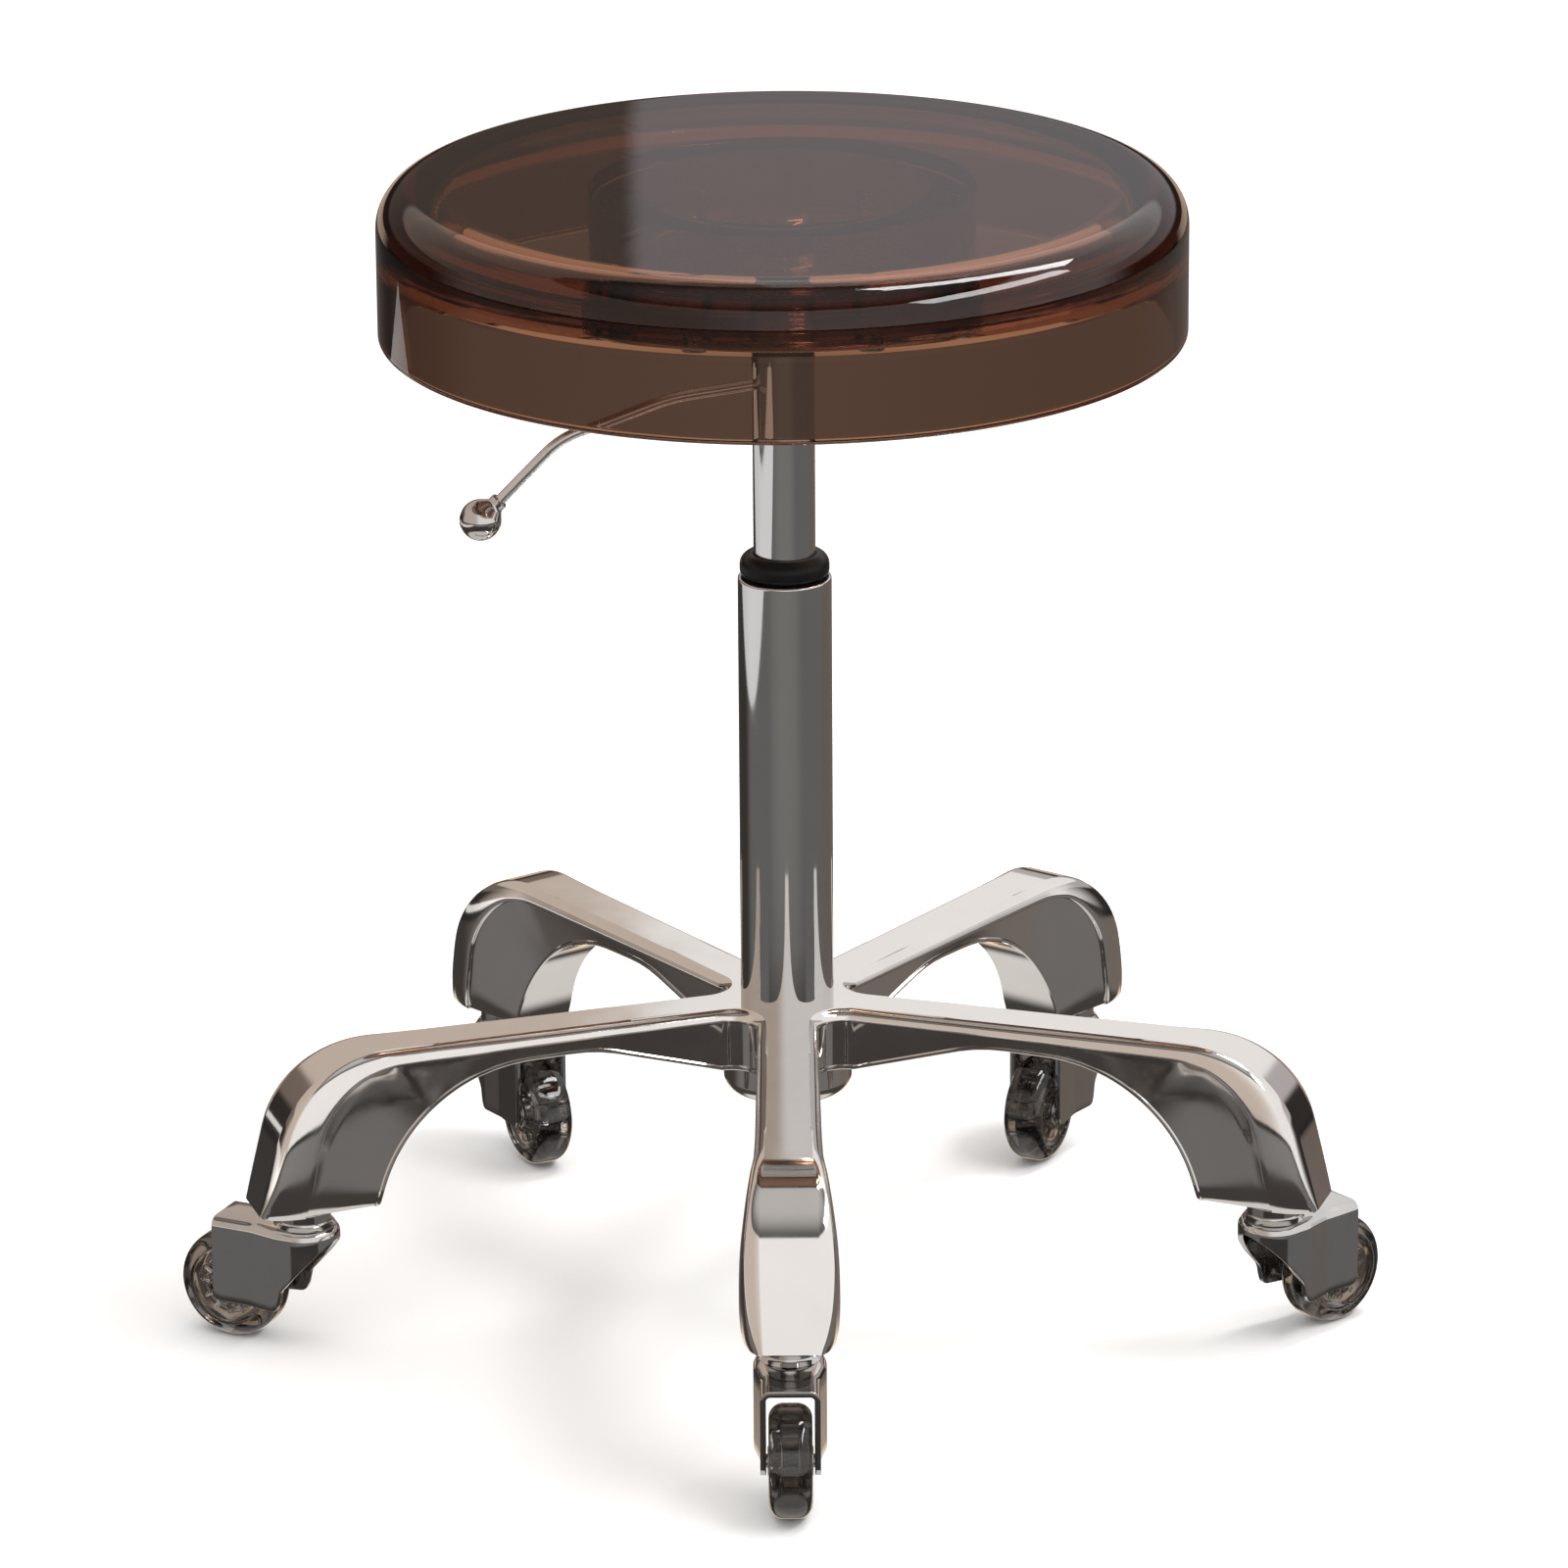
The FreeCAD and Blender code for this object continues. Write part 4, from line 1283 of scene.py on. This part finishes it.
    def rib(
        self, start: Vector, edge: Vector, out: Vector, down: Vector, depth: float, place: float,
    ) -> list[Vector]:
        """Places a rib.

        Args:
            start: its inner end on the arm's top.
            edge: its widest point, seen from above, at the height of the top.
            out: direction from the arm's middle to its side.
            down: direction from its top to its underside.
            depth: from its top to its underside.
            place: distance along the arm's top line.

        Returns:
            The rib's points.
        """
        outer = [edge - out * inset + down * fall for inset, fall in self.section(place, depth)]
        flat = [start.lerp(outer[0], share) for share in self.flat_shares]
        under_start = start + down * (depth - between_keys(self.channel, place))
        return flat + outer + [under_start]

    def barrel(self, shape: bmesh.types.BMesh) -> None:
        """Adds the hub's barrel below the arms.

        Args:
            shape: mesh that takes it.
        """
        low_z = self.top - self.hub_height
        crotch = (self.arm_half_width + self.crotch_radius) / math.sin(self.half_step) - self.crotch_radius
        outer = crotch - self.recess - self.barrel_setback
        top = self.top - self.root_depth + self.rim_height
        turn(shape, rounded([
            (self.bore, low_z, self.barrel_lip),
            (outer, low_z, self.barrel_round),
            (outer, top, 0.0),
            (self.bore, top, 0.0),
        ], steps=10, closed=True), self.barrel_segments)


@dataclass
class Caster:
    """A swivel caster: chromed hood, clear tyre and core, bearings and axle.

    Pieces are made about the stem's axis, with the wheel trailing along +X, and copied to each foot.
    """

    hood: float = 16.0
    half_width: float = 13.1
    plate: float = 2.6
    taper_start: float = 8.0
    taper_end: float = 22.0
    taper_round: float = 14.0
    nose: float = 5.0            # beyond the axle
    skirt: float = 6.0           # below the axle
    rear: tuple[float, float] = (5.0, 7.0)   # rear edge's upper and lower end
    rear_drop: float = 24.0
    corner: float = 4.0
    crown_round: float = 4.5
    crown: float = 6.0
    edge_bevel: float = 1.0
    bevel_limit: float = 50.0    # degrees
    neck: float = 12.0
    neck_fillet: float = 2.0
    neck_height: float = 7.2     # above the crown
    neck_root: float = 1.0       # below the crown's top
    neck_edge: float = 0.6
    neck_segments: int = 64
    plan_steps: int = 72
    side_steps: int = 8
    crown_steps: int = 7
    tyre: float = 7.0            # thickness
    tyre_round: float = 6.5
    tyre_edge: float = 0.8
    bond_depth: float = 0.15     # core's rim sunk into the tyre
    core_setback: float = 1.5
    core_rim: float = 3.0
    core_web: float = 3.0        # half thickness
    core_edge: float = 0.6
    core_fillet: float = 1.0
    core_segments: int = 96
    boss: float = 9.0
    rib_count: int = 12
    rib_half: float = 1.1
    rib_circle: float = 0.0001   # copies turn about the axle itself
    rib_inset: float = 0.6       # of its ends, from the rim and in the boss
    rib_drop: float = 0.4        # below the rim
    rib_fall: float = 1.0        # below the boss
    rib_bevel: float = 0.5
    bearing: float = 6.5
    bearing_width: float = 5.0
    bearing_standout: float = 0.4
    bearing_fit: float = 0.05    # clearance round the axle
    bearing_edges: tuple[float, float] = (0.3, 0.4)
    bearing_segments: int = 56
    outer_race: float = 1.2
    inner_race: float = 1.1
    shield_depth: float = 0.5
    shield_slope: float = 0.2
    axle: float = 3.0
    axle_gap: float = 0.3        # clearance in the core
    axle_setback: float = 0.4
    axle_chamfer: float = 0.8

    def build(self, ring_of_copies: RingOfCopies) -> None:
        """Builds one caster's pieces and sets a copy under each foot.

        Args:
            ring_of_copies: Geometry Nodes tree for the core's ribs.
        """
        self.measure()
        masters = {
            "fork": self.fork(),
            "axle": self.axle_pin(),
            "tyre": self.tyre_ring(),
            "core": self.core(ring_of_copies),
            "bearings": self.bearings(),
        }
        finishes = {
            "fork": CHROME_PRESSING,
            "axle": TURNED_STEEL,
            "tyre": SMOKY_URETHANE,
            "core": SMOKY_POLYCARBONATE,
            "bearings": TURNED_STEEL,
        }
        count = sum(1 for joint in frame["joints"] if joint["name"].startswith("fork_swivel_"))
        for number in range(1, count + 1):
            stem = joint_place(f"fork_swivel_{number}")
            hub = joint_place(f"wheel_roll_{number}")
            trail = Vector((hub.x - stem.x, hub.y - stem.y))
            azimuth = math.atan2(trail.y, trail.x)
            place = Matrix.Translation((stem.x, stem.y, 0.0)) @ Matrix.Rotation(azimuth, 4, "Z")
            for part, master in masters.items():
                body = f"fork_{number}" if part in ("fork", "axle") else f"wheel_{number}"
                piece = placed_copy(master, f"caster_{number}_{part}_shape", place)
                smooth(piece)
                settle(piece, body, finishes[part], f"caster_{number}_{part}")
        for master in masters.values():
            bpy.data.objects.remove(master)

    def measure(self) -> None:
        """Reads the caster's main sizes from the frame."""
        stem = joint_place("fork_swivel_1")
        hub = joint_place("wheel_roll_1")
        tyre_low, tyre_high = node_span("caster_1_tyre")
        self.trail = Vector((hub.x - stem.x, hub.y - stem.y)).length
        self.wheel_radius = (tyre_high.z - tyre_low.z) / 2
        self.wheel_half = min(tyre_high.x - tyre_low.x, tyre_high.y - tyre_low.y) / 2
        self.neck_top = node_span("caster_1_fork")[1].z
        self.crown_top = self.neck_top - self.neck_height
        self.wheel_place = Matrix.Translation((self.trail, 0.0, hub.z)) @ Matrix.Rotation(math.pi / 2, 4, "X")

    def fork(self) -> bpy.types.Object:
        """Makes the hood: one pressed sheet over the wheel, with its neck."""
        nose_x = self.trail + self.nose
        skirt_z = self.wheel_radius - self.skirt
        crown_z = self.crown_top - self.crown
        side_top = self.crown_top - self.crown_round
        half_plan = rounded([
            (nose_x, self.half_width, 0.0),
            (self.taper_end, self.half_width, self.taper_round),
            (self.taper_start, self.hood, self.taper_round),
            (-self.hood, self.hood, self.hood),
            (-self.hood, 0.0, 0.0),
        ], steps=24)
        half_plan = along(half_plan, self.plan_steps)
        plan = half_plan + [Vector((spot.x, -spot.y)) for spot in reversed(half_plan[:-1])]
        lower_edge = rounded([
            (-self.hood, crown_z, 0.0),
            (self.rear[0], crown_z - self.rear_drop, self.corner),
            (self.rear[1], skirt_z, self.corner),
            (nose_x, skirt_z, self.corner),
            (nose_x, crown_z, 0.0),
        ], steps=8)
        rows = []
        for i, spot in enumerate(plan):
            ahead = plan[min(i + 1, len(plan) - 1)] - plan[max(i - 1, 0)]
            inward = Vector((-ahead.y, ahead.x)).normalized()
            low = min(height_at(lower_edge, spot.x), crown_z)
            rise = (side_top - low) / self.side_steps
            column = [Vector((spot.x, spot.y, low + rise * k)) for k in range(self.side_steps)]
            for k in range(self.crown_steps + 1):
                a = math.pi / 2 * k / self.crown_steps
                inset = inward * self.crown_round * (1.0 - math.cos(a))
                up = side_top + self.crown_round * math.sin(a)
                column.append(Vector((spot.x + inset.x, spot.y + inset.y, up)))
            rows.append(column)
        shape = bmesh.new()
        grid = skin(shape, rows)
        roof = shape.faces.new([column[-1] for column in grid])
        bmesh.ops.recalc_face_normals(shape, faces=shape.faces)
        if roof.normal.z < 0:
            bmesh.ops.reverse_faces(shape, faces=shape.faces)
        piece = from_millimetres("fork_master", shape)
        wall = piece.modifiers.new("plate", "SOLIDIFY")
        wall.thickness = self.plate * MM
        wall.offset = -1.0
        edges = piece.modifiers.new("edges", "BEVEL")
        edges.width = self.edge_bevel * MM
        edges.segments = 3
        edges.limit_method = "ANGLE"
        edges.angle_limit = math.radians(self.bevel_limit)
        bake(piece)
        shape = to_millimetres(piece)
        root_z = self.crown_top - self.neck_root
        turn(shape, rounded([
            (0.0, root_z, 0.0),
            (self.neck + self.neck_fillet, root_z, 0.0),
            (self.neck + self.neck_fillet, self.crown_top, 0.0),
            (self.neck, self.crown_top + self.neck_fillet, self.neck_fillet),
            (self.neck, self.neck_top, self.neck_edge),
            (0.0, self.neck_top, 0.0),
        ], steps=6), self.neck_segments)
        return new_piece("fork_master", shape)

    def axle_pin(self) -> bpy.types.Object:
        """Makes the riveted axle, with chamfered ends inside the plates."""
        half = self.half_width - self.axle_setback
        return turned_piece("axle_master", [
            (0.0, -half, 0.0),
            (self.axle, -half, self.axle_chamfer),
            (self.axle, half, self.axle_chamfer),
            (0.0, half, 0.0),
        ], steps=4, segments=40, place=self.wheel_place)

    def tyre_ring(self) -> bpy.types.Object:
        """Makes the tyre, with a rounded tread."""
        inner = self.wheel_radius - self.tyre
        half = self.wheel_half
        return turned_piece("tyre_master", [
            (inner, -half, self.tyre_edge),
            (self.wheel_radius, -half, self.tyre_round),
            (self.wheel_radius, half, self.tyre_round),
            (inner, half, self.tyre_edge),
        ], steps=12, segments=112, closed=True, place=self.wheel_place)

    def core(self, ring_of_copies: RingOfCopies) -> bpy.types.Object:
        """Makes the wheel's centre: rim, web, boss and a ring of ribs.

        Args:
            ring_of_copies: Geometry Nodes tree that repeats one rib.

        Returns:
            The core, in place on the axle.
        """
        outer = self.wheel_radius - self.tyre + self.bond_depth
        rim = outer - self.core_rim
        half = self.wheel_half - self.core_setback
        shoulder = self.wheel_half + self.bearing_standout - self.bearing_width
        shape = bmesh.new()
        outer_end = (rim - self.rib_inset, half - self.rib_drop)
        inner_end = (self.boss - self.rib_inset, self.wheel_half - self.rib_fall)
        outline = [(radius, -height) for radius, height in (outer_end, inner_end)]
        outline += [inner_end, outer_end]
        spots = [
            shape.verts.new((radius, y, height))
            for y in (-self.rib_half, self.rib_half) for radius, height in outline
        ]
        count = len(outline)
        shape.faces.new(spots[:count])
        shape.faces.new(spots[count:])
        for k in range(count):
            n = (k + 1) % count
            shape.faces.new((spots[k], spots[n], spots[count + n], spots[count + k]))
        bmesh.ops.recalc_face_normals(shape, faces=shape.faces)
        bmesh.ops.bevel(shape, geom=shape.edges[:], offset=self.rib_bevel, segments=2, affect="EDGES")
        piece = new_piece("core_master", shape)
        ring_of_copies.repeat(piece, self.rib_count, self.rib_circle, SMOKY_POLYCARBONATE)
        shape = to_millimetres(piece)
        bmesh.ops.transform(shape, matrix=self.wheel_place, verts=shape.verts)
        bore = self.axle + self.axle_gap
        turn(shape, rounded([
            (bore, -shoulder, 0.0),
            (self.bearing, -shoulder, self.bearing_edges[0]),
            (self.bearing, -self.wheel_half, 0.0),
            (self.boss, -self.wheel_half, self.core_edge),
            (self.boss, -self.core_web, self.core_fillet),
            (rim, -self.core_web, self.core_fillet),
            (rim, -half, 0.0),
            (outer, -half, self.core_edge),
            (outer, half, self.core_edge),
            (rim, half, 0.0),
            (rim, self.core_web, self.core_fillet),
            (self.boss, self.core_web, self.core_fillet),
            (self.boss, self.wheel_half, self.core_edge),
            (self.bearing, self.wheel_half, 0.0),
            (self.bearing, shoulder, self.bearing_edges[0]),
            (bore, shoulder, 0.0),
        ], steps=4, closed=True), self.core_segments, self.wheel_place)
        return new_piece("core_master", shape)

    def bearings(self) -> bpy.types.Object:
        """Makes the pair of bearings, each with its two races and a shield."""
        end = self.wheel_half + self.bearing_standout
        start = end - self.bearing_width
        shield = end - self.shield_depth
        bore = self.axle + self.bearing_fit
        inner = self.axle + self.inner_race
        outer = self.bearing - self.outer_race
        seat_edge, face_edge = self.bearing_edges
        shape = bmesh.new()
        for side in (-1.0, 1.0):
            turn(shape, rounded([
                (bore, side * start, 0.0),
                (self.bearing, side * start, seat_edge),
                (self.bearing, side * end, face_edge),
                (outer, side * end, 0.0),
                (outer - self.shield_slope, side * shield, 0.0),
                (inner + self.shield_slope, side * shield, 0.0),
                (inner, side * end, 0.0),
                (bore, side * end, seat_edge),
            ], steps=3, closed=True), self.bearing_segments, self.wheel_place)
        return new_piece("bearings_master", shape)


@dataclass
class Studio:
    """Floor, surroundings, lamps and the camera.

    Mirrors look back at the surroundings: pale walls, a grey ceiling and a dim ground. The pale floor
    is left out of reflections, so that bright metal keeps its darks.
    """

    floor_half: float = 9000.0
    floor_patch: float = 700.0
    camera_at: tuple[float, float, float] = (-0.9, -3586.6, 1473.7)
    camera_pitch: float = -18.953
    camera_roll: float = -0.384
    focal_pixels: float = 8549.3
    sensor: float = 36.0
    ceiling_middle: tuple[float, float, float] = (0.0, -0.13, 0.991)   # direction, a little to the front

    def build(self) -> None:
        """Builds the stage."""
        scene = bpy.context.scene
        scene.view_settings.view_transform = "Standard"
        self.camera(scene)
        self.floor()
        self.surroundings(scene)
        self.lamp("strip lamp", (1500.0, -450.0, 2000.0), (1800.0, 380.0), 22.0)
        self.lamp("high strip lamp", (923.0, 587.0, 2400.0), (430.0, 1270.0), 24.0)
        self.lamp("low card", (-1090.0, 100.0, 2.0), (460.0, 2400.0), 2.6, (-1090.0, 100.0, 1000.0))
        overhead = self.lamp("overhead lamp", (0.0, 300.0, 4200.0), (6000.0, 6000.0), 75.0)
        overhead.visible_glossy = False
        overhead.visible_transmission = False

    def camera(self, scene: bpy.types.Scene) -> None:
        """Sets the camera up as the photograph was taken.

        Args:
            scene: scene that uses the camera.
        """
        data = bpy.data.cameras.new("camera")
        data.sensor_width = self.sensor
        data.lens = self.focal_pixels / PHOTO_SIDE * self.sensor
        data.clip_end = 100.0
        camera = linked("camera", data)
        tilt = Matrix.Rotation(math.radians(90.0 + self.camera_pitch), 4, "X")
        roll = Matrix.Rotation(math.radians(self.camera_roll), 4, "Z")
        camera.matrix_world = Matrix.Translation(Vector(self.camera_at) * MM) @ tilt @ roll
        scene.camera = camera

    def floor(self) -> None:
        """Lays a pale floor."""
        shape = bmesh.new()
        bmesh.ops.create_grid(shape, x_segments=4, y_segments=4, size=self.floor_half)
        floor = new_piece("floor", shape)
        floor.visible_glossy = False
        floor.visible_transmission = False
        material = bpy.data.materials.new("pale matt floor")
        material.use_nodes = True
        tree = material.node_tree
        tree.nodes.clear()
        place = add_node(tree, "ShaderNodeTexCoord").outputs["Object"]
        patches = noise(tree, place, per_metre(self.floor_patch))
        tone = mix_colours(tree, patches, "#F4F3F2", "#F1F0EF")
        shader = add_node(
            tree, "ShaderNodeBsdfPrincipled", values={"Roughness": 0.9, "Specular IOR Level": 0.0},
            links={"Base Color": tone},
        ).outputs["BSDF"]
        add_node(tree, "ShaderNodeOutputMaterial", links={"Surface": shader})
        floor.data.materials.append(material)

    def surroundings(self, scene: bpy.types.Scene) -> None:
        """Paints the room that mirrors and clear pieces see.

        Args:
            scene: scene that takes the world.
        """
        world = bpy.data.worlds.new("studio")
        world.use_nodes = True
        scene.world = world
        tree = world.node_tree
        tree.nodes.clear()
        look = add_node(tree, "ShaderNodeTexCoord").outputs["Generated"]
        way = add_node(tree, "ShaderNodeSeparateXYZ", links={"Vector": look}).outputs
        overhead = add_node(
            tree, "ShaderNodeVectorMath", settings={"operation": "DOT_PRODUCT"},
            values={1: self.ceiling_middle}, links={0: look},
        ).outputs["Value"]
        spans = {
            "wall": (way["Z"], -0.16, -0.14),
            "horizon": (way["Z"], -0.21, -0.18),
            "near": (way["Z"], -0.41, -0.52),
            "under": (way["Z"], -0.72, -0.8),
            "front": (way["Y"], -0.6, -0.68),
            "front low": (way["Z"], -0.343, -0.352),
            "low behind": (way["Z"], -0.37, -0.44),
            "far behind": (way["Y"], 0.8, 0.88),
            "over the ground": (way["Z"], -0.2, -0.17),
            "under the wall": (way["Z"], -0.02, -0.05),
            "straight behind": (way["Y"], 0.68, 0.8),
            "high behind": (way["Z"], 0.285, 0.32),
            "mid behind": (way["Z"], 0.07, 0.13),
            "behind": (way["Y"], 0.05, 0.45),
            "ahead": (way["Y"], -0.65, -0.97),
            "left": (way["X"], 0.0, -0.5),
            "window": (way["X"], -0.019, -0.016),
            "ceiling": (overhead, 0.77, 0.79),
            "ceiling middle": (overhead, 0.79, 1.0),
        }
        share = {}
        for name, (axis, start, end) in spans.items():
            share[name] = map_range(tree, axis, (start, end), interpolation="SMOOTHSTEP")
        for name, first, second in (
            ("back left", "behind", "left"),
            ("warm", "straight behind", "low behind"),
            ("front near", "front", "front low"),
            ("gap", "over the ground", "under the wall"),
            ("glow", "gap", "far behind"),
        ):
            share[name] = add_node(
                tree, "ShaderNodeMath", settings={"operation": "MULTIPLY"},
                links={0: share[first], 1: share[second]},
            ).outputs["Value"]
        mixes = (
            ("open ground", "ahead", "#747271", "#888684"),
            ("far ground", "behind", "open ground", "#776D66"),
            ("side ground", "back left", "far ground", "#403D3B"),
            ("near ground", "near", "side ground", "#45423F"),
            ("front ground", "front near", "near ground", "#433F3D"),
            ("warm ground", "warm", "front ground", "#FFE6CC"),
            ("ground", "under", "warm ground", "#DEDBD8"),
            ("edged ground", "horizon", "ground", "#2B2928"),
            ("side wall", "left", "#FDFBFA", "#D0C2B7"),
            ("far top", "window", "#C9BAAE", "#F7F5F4"),
            ("far middle", "window", "#756961", "#B9B3B5"),
            ("far low", "mid behind", "#332F2D", "far middle"),
            ("far wall", "high behind", "far low", "far top"),
            ("walls", "behind", "side wall", "far wall"),
            ("ceiling tone", "ceiling middle", "#5E5C5A", "#C4C2C0"),
            ("room", "ceiling", "walls", "ceiling tone"),
            ("dim room", "wall", "edged ground", "room"),
            ("all round", "glow", "dim room", "#DDBFA6"),
        )
        made = {}
        for name, factor, first, second in mixes:
            made[name] = mix_colours(tree, share[factor], made.get(first, first), made.get(second, second))
        # The camera and matt surfaces see a plain pale room; mirrors and clear pieces see the one above.
        ray = add_node(tree, "ShaderNodeLightPath").outputs
        seen = made["all round"]
        for kind, colour in (("Is Diffuse Ray", "#FFFEFD"), ("Is Camera Ray", "#F6F5F4")):
            seen = mix_colours(tree, ray[kind], seen, colour)
        light = add_node(tree, "ShaderNodeBackground", links={"Color": seen}).outputs["Background"]
        add_node(tree, "ShaderNodeOutputWorld", links={"Surface": light})

    def lamp(
        self, name: str, at: tuple[float, float, float], size: tuple[float, float], watts: float,
        target: tuple[float, float, float] = (0.0, 0.0, 250.0),
    ) -> bpy.types.Object:
        """Hangs a soft rectangular lamp.

        Args:
            name: the lamp's name.
            at: where it hangs.
            size: its width and height.
            watts: its power.
            target: the point that it faces.

        Returns:
            The lamp.
        """
        data = bpy.data.lights.new(name, "AREA")
        data.shape = "RECTANGLE"
        data.size, data.size_y = size[0] * MM, size[1] * MM
        data.energy = watts
        lamp = linked(name, data)
        lamp.visible_camera = False
        aim = Vector(target) - Vector(at)
        facing = aim.to_track_quat("-Z", "Y").to_matrix().to_4x4()
        lamp.matrix_world = Matrix.Translation(Vector(at) * MM) @ facing
        return lamp


def dress_cad_nodes() -> None:
    """Gives every CAD node the finish of its slot; the ones that are replaced don't show."""
    for part in frame["record"]["subparts"]:
        finish = CAD_FINISHES[Slot(part["material_slot"])]
        node = frame["nodes"][part["node"]]
        for slot in node.material_slots:
            slot.material = finish.material()
        LOG.info("%s: %s", part["node"], finish.name)


def main() -> None:
    """Builds the stool's sub-assemblies and the studio round them."""
    logging.basicConfig(level=logging.INFO, format="%(name)s: %(message)s")
    ring_of_copies = RingOfCopies()
    dress_cad_nodes()
    Seat().build(ring_of_copies)
    Lever().build()
    Column().build()
    StarBase().build()
    Caster().build(ring_of_copies)
    Studio().build()


if __name__ == "__main__":
    main()
